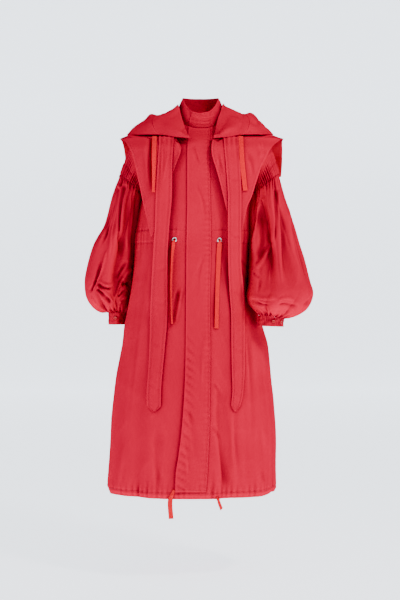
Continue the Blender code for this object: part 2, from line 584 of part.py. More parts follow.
# ---------------------------------------------------------------- the hood
def hood_station(index, side):
    """Control points of one station, from the seam to the rim."""
    row = {key: values[index] for key, values in HOOD.items()}
    seam_angle = side * row["seam_angle"]
    fold_angle = side * row["fold_angle"]
    neck = smooth(CAPE_NECK, "level", abs(seam_angle), key="angle")
    seam = cape_point(seam_angle, neck + SEAM + 0.0005, 0.0009)
    raised = cape_point(seam_angle, neck + 0.0012, HOOD_RAISED)

    def over_cape(share, height):
        """A point between the seam and the fold, this far above the cape."""
        base, part_of_fold = height
        return cape_point(seam_angle + (fold_angle - seam_angle) * share,
                          neck + (row["fold_level"] - neck) * share,
                          base + part_of_fold * row["fold_height"])

    under = over_cape(0.55, HOOD_UNDER)
    near = over_cape(0.93, HOOD_NEAR)
    fold = over_cape(1.0, HOOD_FOLD)
    drop = row["right_drop"] if side < 0 else 0.0
    crown = Vector((side * row["crown_x"], row["crown_y"], row["crown_z"] - drop))
    rim = Vector((side * row["rim_x"], row["rim_y"], row["rim_z"] - drop))
    between = crown.lerp(rim, 0.5) - Vector((0, 0, row["sag"]))
    over = fold.lerp(crown, 0.45)
    over = over + (fold - cape_point(fold_angle, row["fold_level"])).normalized() * HOOD_ROUND
    return [seam, raised, under, near, fold, over, crown, between, rim]


def hood_grid():
    last = len(HOOD["seam_angle"]) - 1
    left = [hood_station(i, 1) for i in range(last + 1)]
    right = [hood_station(i, -1) for i in range(last)]
    return left + right[::-1]


def build_hood(parts, cloth):
    grid = hood_grid()
    last = len(grid) - 1
    places = [0.0, 0.6, 1.3, 2.0, 2.7, 3.3, 3.75, 4.15, 4.6, 5.4, 6.2, 7.1, 8.0]

    def point(along, across):
        return through([through(line, across) for line in grid], along)

    def panel_seam(across):
        share = min(max((across - FOLD_PLACE) / (RIM_PLACE - FOLD_PLACE), 0), 1)
        return HOOD_SEAM_FOLD + (HOOD_SEAM_RIM - HOOD_SEAM_FOLD) * share

    half_gap = 0.004
    for name, count in (("hood_left", 8), ("hood_middle", 21), ("hood_right", 8)):
        rows = []
        normals = []
        for across in places:
            seam = panel_seam(across)
            start, end = {
                "hood_left": (0.0, seam - half_gap),
                "hood_middle": (seam + half_gap, last - seam - half_gap),
                "hood_right": (last - seam + half_gap, float(last)),
            }[name]
            alongs = spaced(start, end, count)
            rows.append([point(a, across) for a in alongs])
            normals.append([normal_of(point, a, across, 0.02, 0.02) * -1 for a in alongs])
        wall(name, rows, normals, parts, cloth)


# ---------------------------------------------------------------- the sleeves
def armhole_point(phase, side):
    """A point of the armhole: phase 0 is the shoulder point, 90 the front, 180 the underarm."""
    level = ARM_MIDDLE + (ARM_TOP - ARM_FOOT) / 2 * cos(radians(phase)) * 0.99999
    back = phase % 360 > 180
    angle = side_angle(level, side, back)
    return ring(COAT, angle, level), coat_normal(angle, level)


def sleeve_stations(table, phase, side):
    """Points down the sleeve at one phase: the armhole, then each station of the table."""
    turn = radians(phase)
    start, _ = armhole_point(phase, side)
    line = [start + arm_axis(side) * 0.0007]
    for i in range(len(table["x"])):
        lean = radians(table["tilt"][i])
        out = Vector((side * cos(lean), 0, sin(lean))) * cos(turn)
        ahead = Vector((0, -1, 0)) * sin(turn)
        ripple = table["gather"][i] * cos(GATHERS * turn) + table["fold"][i] * cos(FOLDS * turn + 0.7)
        ripple *= 0.6 + 0.4 * cos(turn)
        ripple -= table["hollow"][i] * bump((phase - HOLLOW_AT) / HOLLOW_HALF)
        middle = Vector((table["x"][i], table["y"][i], table["z"][i]))
        line.append(middle + out * (table["across"][i] + ripple) + ahead * (table["depth"][i] + ripple))
    return line


def arm_axis(side):
    """Unit normal of the armhole's plane, pointing out along the sleeve."""
    rise = ARM_TOP - ARM_FOOT
    return Vector((side * rise, 0, ARM_HALF_FOOT - ARM_HALF_TOP)).normalized()


def station_axis(table, station, side):
    """Unit normal of a station's plane, pointing down the sleeve."""
    lean = radians(table["tilt"][station - 1])
    return Vector((side * sin(lean), 0, -cos(lean)))


def sleeve_wall(name, table, side, places, columns, parts, cloth):
    """A tube between two stations. Its end rings are flat, and its lower end stops a seam short."""
    def point(phase, along):
        return through(sleeve_stations(table, phase, side), along)

    rows = []
    normals = []
    phases = [360 * k / columns for k in range(columns)]
    for along in places:
        row = [point(p, along) for p in phases]
        outward = [normal_of(point, p, along, 1.5, 0.02) * side for p in phases]
        if along in (places[0], places[-1]):
            station = int(along)
            axis = station_axis(table, station, side) if station else arm_axis(side)
            outward = [(n - axis * n.dot(axis)).normalized() for n in outward]
            if along == places[-1]:
                row = [p - axis * (SEAM + 0.0001) for p in row]
        rows.append(row)
        normals.append(outward)
    return wall(name, rows, normals, parts, cloth, closed=True)


def build_sleeves(parts, cloth):
    for word, table, side in (("left", LEFT_SLEEVE, 1), ("right", RIGHT_SLEEVE, -1)):
        sleeve_wall("sleeve_top_" + word, table, side, [0, 0.35, 0.7, 1], 24, parts, cloth)
        lengths = [1, 1.5, 2, 2.6, 3.2, 4, 5, 6, 7, 8, 9, 10, 11]
        sleeve_wall("sleeve_" + word, table, side, lengths, 48, parts, cloth)
        sleeve_wall("cuff_" + word, table, side, [11, 11.33, 11.66, 12], 24, parts, cloth)


# ---------------------------------------------------------------- straps and tapes
def build_straps(parts, cloth):
    for word, edges in (("left", LEFT_STRAP), ("right", RIGHT_STRAP)):
        foot = edges["level"][0]
        levels = [foot, foot + 0.02, -0.86, -0.80, -0.72, -0.66, -0.61, -0.56, -0.51, -0.46, -0.42,
                  -0.38, -0.34, -0.30, -0.25, -0.20, -0.15, -0.11, -0.085, -0.068]
        rows = []
        normals = []
        for level in levels:
            inner = smooth(edges, "inner", level)
            outer = smooth(edges, "outer", level)
            row = []
            row_normals = []
            for x in spaced(*sorted((inner, outer)), 4):
                at, normal = front_at(x, level)
                row.append(at)
                row_normals.append(normal)
            rows.append(row)
            normals.append(row_normals)
        wall("strap_" + word, rows, normals, parts, cloth)


def front_at(x, level, extra=0.0):
    """A point lying on the cape above its tip and on the coat below it, and the normal there."""
    on_cape = min(max((level - STRAP_REST) / STRAP_RISE, 0), 1)
    share = on_cape * on_cape * (3 - 2 * on_cape)
    coat_angle = angle_at(COAT, x, level)
    low = coat_point(coat_angle, level, STRAP_OVER_COAT + extra)
    low_normal = coat_normal(coat_angle, level)
    cape_level = max(level, CAPE["level"][0])
    cape_angle = angle_at(CAPE, x, cape_level)
    high = cape_point(cape_angle, cape_level, STRAP_OVER_CAPE + extra)
    high_normal = cape_normal(cape_angle, cape_level)
    at = low.lerp(high, share)
    return Vector((at.x, at.y, low.z)), low_normal.lerp(high_normal, share).normalized()


def ribbon(name, places, across, facing, collection, surface):
    """A flat tape: a closed strip through the places, TAPE_THICK thick and as wide as `across`."""
    bm = bmesh.new()
    rings = []
    for place_at, wide, face in zip(places, across, facing):
        side = wide / 2
        lift = face * (TAPE_THICK / 2)
        corners = (place_at - side - lift, place_at + side - lift,
                   place_at + side + lift, place_at - side + lift)
        rings.append([bm.verts.new(p) for p in corners])
    for low, high in zip(rings, rings[1:]):
        for j in range(4):
            bm.faces.new((low[j], low[(j + 1) % 4], high[(j + 1) % 4], high[j]))
    bm.faces.new(rings[0][::-1])
    bm.faces.new(rings[-1])
    bmesh.ops.recalc_face_normals(bm, faces=bm.faces)
    mesh = bpy.data.meshes.new(name)
    bm.to_mesh(mesh)
    bm.free()
    return place(name, mesh, collection, surface)


def tape(name, table, centre, collection, surface, steps=2):
    """A tape along the table's rows. `centre` gives a row's point and the normal under it."""
    rows = [{key: column[i] for key, column in table.items()} for i in range(len(table["turn"]))]
    found = [centre(row) for row in rows]
    points = [at for at, _ in found]
    normals = [normal for _, normal in found]
    turns = [Vector((row["turn"], row["wide"] * TAPE_WIDTH, 0)) for row in rows]
    count = (len(rows) - 1) * steps + 1
    places = []
    across = []
    facing = []
    for k in range(count):
        at = k / steps
        along = (through(points, min(at + 0.05, len(rows) - 1)) - through(points, max(at - 0.05, 0)))
        along.normalize()
        normal = through(normals, at)
        wide = along.cross(normal).normalized()
        face = wide.cross(along).normalized()
        turn = radians(through(turns, at).x)
        width = through(turns, at).y
        places.append(through(points, at))
        across.append((wide * cos(turn) + face * sin(turn)) * width)
        facing.append(face * cos(turn) - wide * sin(turn))
    return ribbon(name, places, across, facing, collection, surface)


def on_coat(row):
    angle = angle_at(COAT, row["x"], row["level"])
    return coat_point(angle, row["level"], row["height"]), coat_normal(angle, row["level"])


def on_cape(row):
    return front_at(row["x"], row["level"], row["height"])


def past_hem(row):
    """On the coat as far as its hem, and straight down from there."""
    level = max(row["level"], HEM_LEVEL)
    angle = angle_at(COAT, row["x"], level)
    at = coat_point(angle, level, row["height"])
    return Vector((at.x, at.y, row["level"])), coat_normal(angle, level)


def build_tapes(parts, surface):
    tape("waist_tape_left", LEFT_WAIST_TAPE, on_coat, parts, surface)
    tape("waist_tape_right", RIGHT_WAIST_TAPE, on_coat, parts, surface)
    tape("hood_tape_left", LEFT_HOOD_TAPE, on_cape, parts, surface)
    tape("hood_tape_right", RIGHT_HOOD_TAPE, on_cape, parts, surface)
    tape("hem_tape_left", LEFT_HEM_TAPE, past_hem, parts, surface)
    tape("hem_tape_right", RIGHT_HEM_TAPE, past_hem, parts, surface)


# ---------------------------------------------------------------- eyelets and snaps
def stand_on(obj, at, normal):
    obj.location = at
    obj.rotation_mode = "QUATERNION"
    obj.rotation_quaternion = normal.to_track_quat("Z", "Y")


def move_to(obj, collection):
    for held in list(obj.users_collection):
        held.objects.unlink(obj)
    collection.objects.link(obj)


def build_eyelets(parts, cutters, surface):
    for word, (x, level) in EYELETS.items():
        angle = angle_at(COAT, x, level)
        normal = coat_normal(angle, level)
        bpy.ops.mesh.primitive_torus_add(major_radius=EYELET_OUTER - EYELET_WIRE, minor_radius=EYELET_WIRE,
                                         major_segments=20, minor_segments=6)
        ring_piece = bpy.context.object
        ring_piece.name = "eyelet_" + word
        ring_piece.data.materials.append(surface)
        stand_on(ring_piece, coat_point(angle, level, EYELET_WIRE + SEAM), normal)
        move_to(ring_piece, parts)
        bpy.ops.mesh.primitive_cylinder_add(vertices=14, radius=EYELET_HOLE, depth=0.02)
        cutter = bpy.context.object
        cutter.name = "eyelet_cutter_" + word
        stand_on(cutter, coat_point(angle, level), normal)
        move_to(cutter, cutters)
        cutter.hide_render = True
        cutter.display_type = "WIRE"
        hole = bpy.data.objects["front_" + word].modifiers.new("eyelet", "BOOLEAN")
        hole.object = cutter
        hole.operation = "DIFFERENCE"


def build_snaps(parts, surface):
    tables = {"left": (LEFT_SLEEVE, 1), "right": (RIGHT_SLEEVE, -1)}
    for word, phases in CUFF_SNAPS.items():
        table, side = tables[word]
        for number, phase in enumerate(phases, 1):
            def point(p, along):
                return through(sleeve_stations(table, p, side), along)

            normal = normal_of(point, phase, 11.5, 1.5, 0.02) * side
            bpy.ops.mesh.primitive_cylinder_add(vertices=16, radius=SNAP_RADIUS, depth=SNAP_THICK)
            snap = bpy.context.object
            snap.name = f"cuff_snap_{word}_{number}"
            snap.data.materials.append(surface)
            stand_on(snap, point(phase, 11.5) + normal * (SNAP_THICK / 2 + SEAM), normal)
            move_to(snap, parts)


def build_all():
    clear_scene()
    parts = bpy.data.collections.new(COLLECTION)
    bpy.context.scene.collection.children.link(parts)
    cutters = bpy.data.collections.new("cutters")
    bpy.context.scene.collection.children.link(cutters)
    cloth = material("red_weather_cloth", (0.80, 0.025, 0.055), 0.55)
    tape_cloth = material("orange_red_tape", (0.85, 0.07, 0.05), 0.70)
    metal = material("silver_metal", (0.75, 0.76, 0.78), 0.25, 1.0)
    snap_red = material("red_snap", (0.62, 0.03, 0.05), 0.35)
    build_body(parts, cloth)
    build_collar(parts, cloth)
    build_cape(parts, cloth)
    build_hood(parts, cloth)
    build_sleeves(parts, cloth)
    build_straps(parts, cloth)
    build_tapes(parts, tape_cloth)
    build_eyelets(parts, cutters, metal)
    build_snaps(parts, snap_red)


build_all()
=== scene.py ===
"""The looks of the mod coat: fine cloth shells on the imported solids, creases, gathers, stitching,
tapes, eyelets and snaps, a plain pale studio and the camera of the photograph.

Metres, +Z up, the front faces -Y, and "left" is the wearer's left, at +X. Each cloth surface is a
fine grid, worked out from section tables close to those of the solids, and raised or sunk along its
normals by tables of creases and by functions for gathers and unevenness.
"""
from math import cos, pi, radians, sin

import bmesh
import bpy
import numpy as np
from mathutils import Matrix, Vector


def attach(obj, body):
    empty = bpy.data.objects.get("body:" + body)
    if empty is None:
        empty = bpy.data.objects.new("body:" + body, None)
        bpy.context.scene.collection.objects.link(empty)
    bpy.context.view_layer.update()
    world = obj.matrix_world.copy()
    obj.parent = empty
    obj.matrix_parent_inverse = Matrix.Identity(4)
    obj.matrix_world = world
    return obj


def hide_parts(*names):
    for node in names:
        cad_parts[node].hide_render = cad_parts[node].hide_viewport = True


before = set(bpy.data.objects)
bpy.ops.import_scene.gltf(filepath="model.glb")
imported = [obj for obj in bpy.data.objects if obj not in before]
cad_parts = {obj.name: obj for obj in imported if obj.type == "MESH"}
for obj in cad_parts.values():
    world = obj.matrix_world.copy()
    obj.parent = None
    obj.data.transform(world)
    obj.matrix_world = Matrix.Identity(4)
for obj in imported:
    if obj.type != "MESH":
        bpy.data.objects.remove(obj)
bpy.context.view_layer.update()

BODY = "root"

# ---------------------------------------------------------------- driving sizes, in metres
CLOTH = 0.0012          # thickness of one layer of cloth as it shows
SEAM = 0.0003           # gap left between two pieces at a seam
SEAM_TURN = 0.07        # degrees kept free beside the side seams
SEAM_LAP = 0.25         # degrees that the back reaches under the fronts there
SEAM_SINK = 0.0008      # how far its edges lie under theirs
TAPE_WIDTH = 0.015
TAPE_THICK = 0.0012
HEM_LEVEL = -1.190      # lower edge of the coat
FLY_FOOT = -1.168       # lower edge of the fly
FLY_TOP = -0.0036       # its upper edge, under the collar
FLY_HEIGHT = 0.0025     # its outer face above the coat's form
FRONTS_MEET = 0.0165    # how far inside the fly's sewn edge the two fronts meet
FRONTS_GAP = 0.00005    # what they leave between them there
NECK_DROP = 0.040       # how far the neckline falls at the front
NAPE_RISE = 0.012       # how far it rises at the back
NECK_ZONE = 0.12        # height below the neck over which that tilt dies out
ARM_TOP = -0.083        # shoulder point of the armhole
ARM_FOOT = -0.235       # underarm point of the armhole
ARM_HALF_TOP = 0.222    # half the coat's width at those two points
ARM_HALF_FOOT = 0.175
ARM_DEPTH = 0.078       # half the armhole's width from front to back
ARM_GAP = 0.0007        # between the armhole's edge and the sleeve
WAIST = -0.395          # the skirt's folds grow from here down
CAPE_HEM = -0.180       # straight lower edge of the cape's back
CAPE_SHOULDER = -0.068  # level of the cape's shoulder tips
STRAP_OVER_COAT = 0.0042
STRAP_OVER_CAPE = 0.0029
STRAP_REST = -0.64      # below this level the straps lie on the coat
STRAP_RISE = 0.22       # height over which they rise from it to the cape

# ---------------------------------------------------------------- the photograph's view
PIXEL = 0.0032          # metres a pixel in the plane y = 0
PHOTO_SIZE = (400, 600)
CAMERA = (-0.0016, -4.6, -0.582)
SENSOR = 36

# ---------------------------------------------------------------- section tables
COAT = {
    "level": [-1.20, -1.05, -0.94, -0.83, -0.726, -0.675, -0.63, -0.57, -0.48, -0.39, -0.31,
              -0.235, -0.19, -0.15, -0.11, -0.083, -0.06, -0.03, 0.0],
    "middle": [-0.0265, -0.023, -0.022, -0.022, -0.0175, -0.0205, -0.0258, -0.031, -0.028, -0.0245,
               -0.019, -0.009, -0.0064, -0.0040, -0.0016, 0.0, 0.0, 0.0, 0.0],
    "half": [0.2670, 0.2645, 0.258, 0.247, 0.2315, 0.218, 0.2018, 0.1910, 0.185, 0.1845,
             0.179, 0.175, 0.1886, 0.2007, 0.2128, 0.222, 0.190, 0.135, 0.075],
    "front": [0.222, 0.216, 0.208, 0.195, 0.180, 0.174, 0.169, 0.164, 0.157, 0.151,
              0.155, 0.157, 0.155, 0.151, 0.143, 0.134, 0.122, 0.099, 0.080],
    "back": [0.212, 0.205, 0.198, 0.185, 0.170, 0.163, 0.158, 0.153, 0.146, 0.141,
             0.145, 0.148, 0.147, 0.144, 0.139, 0.132, 0.122, 0.099, 0.072],
    "power": [2.2, 2.2, 2.2, 2.2, 2.3, 2.3, 2.3, 2.4, 2.4, 2.4,
              2.4, 2.4, 2.3, 2.3, 2.2, 2.1, 2.0, 2.0, 2.0],
}
SKIRT_FOLDS = {
    "angle": [-72, -46, 30, 54, 76, 106, 129, 152, 175, 198, 221, 244, 264],
    "half": [12, 13, 12, 12, 11, 14, 13, 14, 12, 13, 14, 12, 10],
    "out": [0.007, -0.012, -0.012, 0.009, -0.008, -0.012, 0.013, -0.018, 0.012, -0.016, 0.015,
            -0.012, 0.006],
}
CAPE = {
    "level": [-0.42, -0.34, -0.26, -0.18, -0.115, -0.085, -0.068, -0.063, -0.058, -0.049,
              -0.03, -0.018],
    "middle": [0.0, 0.0, 0.002, 0.003, 0.004, 0.004, 0.004, 0.003, 0.002, 0.0,
               0.0, 0.0],
    "half": [0.262, 0.275, 0.288, 0.296, 0.294, 0.275, 0.261, 0.236, 0.209, 0.1805,
             0.139, 0.1165],
    "front": [0.165, 0.169, 0.173, 0.174, 0.166, 0.155, 0.149, 0.146, 0.142, 0.134,
              0.114, 0.103],
    "back": [0.166, 0.172, 0.178, 0.180, 0.170, 0.158, 0.151, 0.147, 0.142, 0.133,
             0.115, 0.104],
    "power": [2.3, 2.3, 2.3, 2.3, 2.2, 2.1, 2.0, 2.0, 2.0, 2.0,
              2.0, 2.0],
}
CAPE_NECK = {"angle": [0, 20, 45, 70, 90, 130, 180],
             "level": [-0.066, -0.062, -0.054, -0.038, -0.030, -0.024, -0.020]}
LEFT_CAPE_EDGES = {
    "level": [-0.405, -0.37, -0.341, -0.2975, -0.262, -0.221, -0.173, -0.15, -0.130, -0.115,
              -0.100, -0.086, -0.068],
    "inner": [0.1135, 0.1010, 0.0905, 0.0786, 0.0700, 0.0600, 0.0465, 0.0390, 0.0345, 0.0335,
              0.0340, 0.0355, 0.0385],
    "outer": [0.1185, 0.1265, 0.1345, 0.1432, 0.1588, 0.1722, 0.1885, 0.1985, 0.2090, 0.2166,
              0.2260, 0.2390, 0.2620],
}
RIGHT_CAPE_EDGES = {
    "level": [-0.385, -0.352, -0.32, -0.28, -0.24, -0.205, -0.175, -0.15, -0.127, -0.110,
              -0.095, -0.082, -0.068],
    "inner": [-0.1500, -0.1370, -0.1270, -0.1140, -0.1010, -0.0905, -0.0800, -0.0700, -0.0620,
              -0.0595, -0.0620, -0.0680, -0.0750],
    "outer": [-0.1545, -0.1620, -0.1690, -0.1790, -0.1865, -0.1945, -0.2010, -0.2080, -0.2150,
              -0.2215, -0.2290, -0.2390, -0.2565],
}
BACK_CAPE_EDGES = {"level": [-0.18, -0.13, -0.10, -0.085, -0.068],
                   "left": [0.264, 0.267, 0.2665, 0.2650, 0.2630],
                   "right": [-0.243, -0.2455, -0.2480, -0.2500, -0.2540]}
FLY = {
    "level": [-1.168, -1.115, -1.057, -0.985, -0.912, -0.827, -0.735, -0.582, -0.40, -0.27,
              -0.15, -0.05, -0.004],
    "free": [-0.0765, -0.0750, -0.0664, -0.0577, -0.0519, -0.0477, -0.0457, -0.0447, -0.0433,
             -0.0408, -0.0409, -0.0390, -0.0370],
    "sewn": [0.0170, 0.0210, 0.0240, 0.0270, 0.0285, 0.0300, 0.0305, 0.0290, 0.0325,
             0.0300, 0.0275, 0.0290, 0.0300],
}
LEFT_SLEEVE = {
    "x": [0.2085, 0.2115, 0.2185, 0.2315, 0.2445, 0.2515, 0.2510, 0.2440, 0.2360, 0.2280,
          0.2215, 0.2205],
    "y": [-0.005, -0.007, -0.012, -0.020, -0.038, -0.072, -0.094, -0.104, -0.109, -0.110,
          -0.110, -0.112],
    "z": [-0.205, -0.222, -0.270, -0.338, -0.438, -0.518, -0.562, -0.598, -0.618, -0.628,
          -0.634, -0.664],
    "across": [0.0524, 0.0490, 0.0520, 0.0575, 0.0725, 0.0895, 0.0990, 0.0890, 0.0700, 0.0505,
               0.0400, 0.0385],
    "depth": [0.0680, 0.0700, 0.0790, 0.0860, 0.0960, 0.0980, 0.0960, 0.0880, 0.0660, 0.0480,
              0.0400, 0.0380],
    "tilt": [43, 38, 27, 14, 5, 2, 0, -4, -8, -10, -9, -2],
    "fold": [0.0, 0.0, 0.0025, 0.0050, 0.0060, 0.0055, 0.0050, 0.0040, 0.0020, 0.0, 0.0, 0.0],
    "hollow": [0.0, 0.0, 0.012, 0.026, 0.032, 0.014, 0.003, 0.0, 0.0, 0.0, 0.0, 0.0],
}
RIGHT_SLEEVE = {
    "x": [-0.2225, -0.2255, -0.2400, -0.2555, -0.2805, -0.2960, -0.2990, -0.2975, -0.2890,
          -0.2790, -0.2695, -0.2712],
    "y": [-0.002, -0.002, 0.002, 0.008, 0.018, 0.026, 0.030, 0.033, 0.036, 0.036, 0.036, 0.035],
    "z": [-0.2075, -0.226, -0.270, -0.350, -0.420, -0.500, -0.540, -0.575, -0.601, -0.615,
          -0.622, -0.661],
    "across": [0.0470, 0.0465, 0.0470, 0.0475, 0.0620, 0.0690, 0.0695, 0.0640, 0.0525, 0.0425,
               0.0285, 0.0262],
    "depth": [0.0680, 0.0700, 0.0790, 0.0850, 0.0920, 0.0940, 0.0920, 0.0830, 0.0650, 0.0480,
              0.0400, 0.0370],
    "tilt": [45, 40, 27, 14, 6, 2, 0, -2, -4, -4, 0, 0],
    "fold": [0.0, 0.0, 0.0025, 0.0045, 0.0050, 0.0045, 0.0040, 0.0030, 0.0015, 0.0, 0.0, 0.0],
    "hollow": [0.0, 0.0, 0.006, 0.012, 0.014, 0.016, 0.010, 0.004, 0.0, 0.0, 0.0, 0.0],
}
# How much further than the solid each sleeve's cloth bellies in towards the coat's side.
LEFT_BELLY = [0.006, 0.017, 0.026, 0.026, 0.022, 0.015, 0.010, 0.008, 0.006, 0.003, 0.0, 0.0]
RIGHT_BELLY = [0.0, 0.002, 0.005, 0.009, 0.012, 0.013, 0.014, 0.015, 0.014, 0.011, 0.006, 0.0]
# Phases round a sleeve, in degrees: 0 is outward from the coat, and 90 faces forward.
BELLY_AT = {1: 168, -1: 180}
BELLY_HALF = 70
HOLLOW_AT = 121
HOLLOW_HALF = 26
FOLDS = 7               # broad folds round a sleeve
HOOD = {
    "seam_angle": [14, 30, 44, 57, 74, 96, 122, 152, 180],
    "fold_angle": [14, 30, 45, 62, 81, 98, 118, 150, 180],
    "fold_level": [-0.069, -0.067, -0.062, -0.0630, -0.0620, -0.060, -0.075, -0.140, -0.195],
    "fold_height": [0.004, 0.005, 0.007, 0.008, 0.009, 0.014, 0.024, 0.026, 0.026],
    "crown_x": [0.0400, 0.0640, 0.0950, 0.1250, 0.1420, 0.1580, 0.1600, 0.1000, 0.0],
    "crown_y": [-0.1290, -0.1230, -0.1030, -0.0680, -0.0200, 0.0350, 0.0950, 0.1830, 0.2170],
    "crown_z": [-0.0760, -0.0500, -0.0260, -0.0020, 0.0080, 0.0120, 0.0270, -0.0100, -0.0600],
    "rim_x": [0.0420, 0.0510, 0.0610, 0.0680, 0.0720, 0.0820, 0.0940, 0.0700, 0.0],
    "rim_y": [-0.1230, -0.0980, -0.0660, -0.0380, -0.0070, 0.0300, 0.0700, 0.1180, 0.1400],
    "rim_z": [-0.0680, -0.0340, 0.0040, 0.0320, 0.0440, 0.0330, 0.0200, 0.0160, 0.0160],
    "sag": [0.0, 0.0, 0.001, 0.003, 0.006, 0.010, 0.010, 0.010, 0.008],
    "right_drop": [0.0, 0.001, 0.002, 0.001, 0.003, 0.004, 0.004, 0.002, 0.0],
    "right_fall": [0.0, 0.0, 0.0, 0.0005, 0.0014, 0.0020, 0.0014, 0.0, 0.0],
}
HOOD_SEAM_FOLD = 2.1    # station of the hood's front seams at the fold
HOOD_SEAM_RIM = 5.2     # and at the rim
HOOD_SEAM_GAP = 0.004   # stations kept free on each side of them
FOLD_PLACE = 4          # places across the hood of its fold and its rim
RIM_PLACE = 8
HOOD_RAISED = 0.0045
HOOD_UNDER = (0.0055, 0.42)     # heights over the cape: a base, and a share of fold_height
HOOD_NEAR = (0.0050, 0.48)
HOOD_FOLD = (0.0030, 0.60)
HOOD_ROUND = 0.008
LEFT_STRAP = {
    "level": [-0.925, -0.905, -0.863, -0.805, -0.735, -0.644, -0.551, -0.459, -0.380, -0.274,
              -0.160, -0.114, -0.072],
    "inner": [0.1060, 0.0971, 0.1000, 0.0979, 0.0966, 0.0939, 0.0878, 0.0848, 0.0842, 0.0841,
              0.0775, 0.0731, 0.0712],
    "outer": [0.1120, 0.1223, 0.1300, 0.1345, 0.1353, 0.1342, 0.1313, 0.1250, 0.1250, 0.1260,
              0.1220, 0.1195, 0.1184],
}
RIGHT_STRAP = {
    "level": [-0.924, -0.906, -0.865, -0.806, -0.736, -0.619, -0.449, -0.393, -0.352, -0.256,
              -0.160, -0.114, -0.072],
    "inner": [-0.1380, -0.1203, -0.1195, -0.1154, -0.1092, -0.1009, -0.1013, -0.0985, -0.0957,
              -0.0877, -0.0865, -0.0840, -0.0823],
    "outer": [-0.1440, -0.1632, -0.1650, -0.1614, -0.1587, -0.1554, -0.1464, -0.1430, -0.1402,
              -0.1374, -0.1313, -0.1290, -0.1275],
}
COLLAR_TOP = {"angle": [0, 25, 50, 75, 95, 140, 180],
              "z": [0.0060, 0.0120, 0.0310, 0.0560, 0.0650, 0.0690, 0.0700]}
COLLAR_HALF = 0.0560
COLLAR_FRONT = 0.0740
COLLAR_BACK = 0.0600
COLLAR_LAP = 0.0024
COLLAR_SWELL = 0.0040
COLLAR_START = -27.0    # its overlapping ends, in degrees round the neck
COLLAR_END = 352.0
COLLAR_GRID = (22, 160)
EYELETS = {"left": (0.0588, -0.3963), "right": (-0.0805, -0.3947)}
EYELET_HOLE = 0.0046
LEFT_WAIST_TAPE = {
    "x": [0.0587, 0.0586, 0.0585, 0.0580, 0.0568, 0.0552, 0.0531, 0.0510, 0.0488],
    "level": [-0.3975, -0.4010, -0.4050, -0.4110, -0.4300, -0.4750, -0.5300, -0.6000, -0.6700],
    "height": [0.0032, 0.0050, 0.0053, 0.0048, 0.0038, 0.0032, 0.0034, 0.0036, 0.0038],
    "turn": [0, 0, 0, 0, 0, 5, 8, 8, 10],
    "wide": [0.35, 0.50, 0.75, 1, 1, 1, 1, 1, 1],
}
RIGHT_WAIST_TAPE = {
    "x": [-0.0806, -0.0808, -0.0811, -0.0817, -0.0835, -0.0862, -0.0884, -0.0880, -0.0855],
    "level": [-0.3960, -0.3995, -0.4040, -0.4110, -0.4300, -0.4650, -0.5300, -0.5900, -0.6560],
    "height": [0.0036, 0.0058, 0.0085, 0.0100, 0.0102, 0.0102, 0.0098, 0.0094, 0.0092],
    "turn": [8, 18, 35, 55, 72, 80, 80, 80, 78],
    "wide": [0.35, 0.50, 0.75, 1, 1, 1, 1, 1, 1],
}
LEFT_HOOD_TAPE = {
    "x": [0.1245, 0.1258, 0.1280, 0.1330, 0.1374],
    "level": [-0.0700, -0.1150, -0.1580, -0.2040, -0.2438],
    "height": [0.0018, 0.0018, 0.0018, 0.0018, 0.0018],
    "turn": [0, 0, 0, 0, 0],
    "wide": [1, 1, 1, 1, 1],
}
RIGHT_HOOD_TAPE = {
    "x": [-0.1425, -0.1422, -0.1416, -0.1418, -0.1422],
    "level": [-0.0700, -0.1150, -0.1700, -0.2100, -0.2503],
    "height": [0.0002, 0.0018, 0.0056, 0.0066, 0.0070],
    "turn": [15, 25, 55, 62, 66],
    "wide": [1, 1, 1, 1, 1],
}
LEFT_HEM_TAPE = {
    "x": [0.0500, 0.0520, 0.0535, 0.0560, 0.0640],
    "level": [-1.1835, -1.1875, -1.1930, -1.2020, -1.2210],
    "height": [0.0000, 0.0012, 0.0040, 0.0048, 0.0040],
    "turn": [15, 30, 35, 25, 15],
    "wide": [0.3, 0.5, 0.8, 1, 1],
}
RIGHT_HEM_TAPE = {
    "x": [-0.0815, -0.0832, -0.0880, -0.0920, -0.0925, -0.0910, -0.0895],
    "level": [-1.1600, -1.1680, -1.1800, -1.1930, -1.2110, -1.2300, -1.2493],
    "height": [0.0013, 0.0016, 0.0020, 0.0022, 0.0022, 0.0018, 0.0020],
    "turn": [5, 8, 8, 5, 3, 0, -5],
    "wide": [0.4, 0.6, 0.8, 1, 1, 1, 1],
}

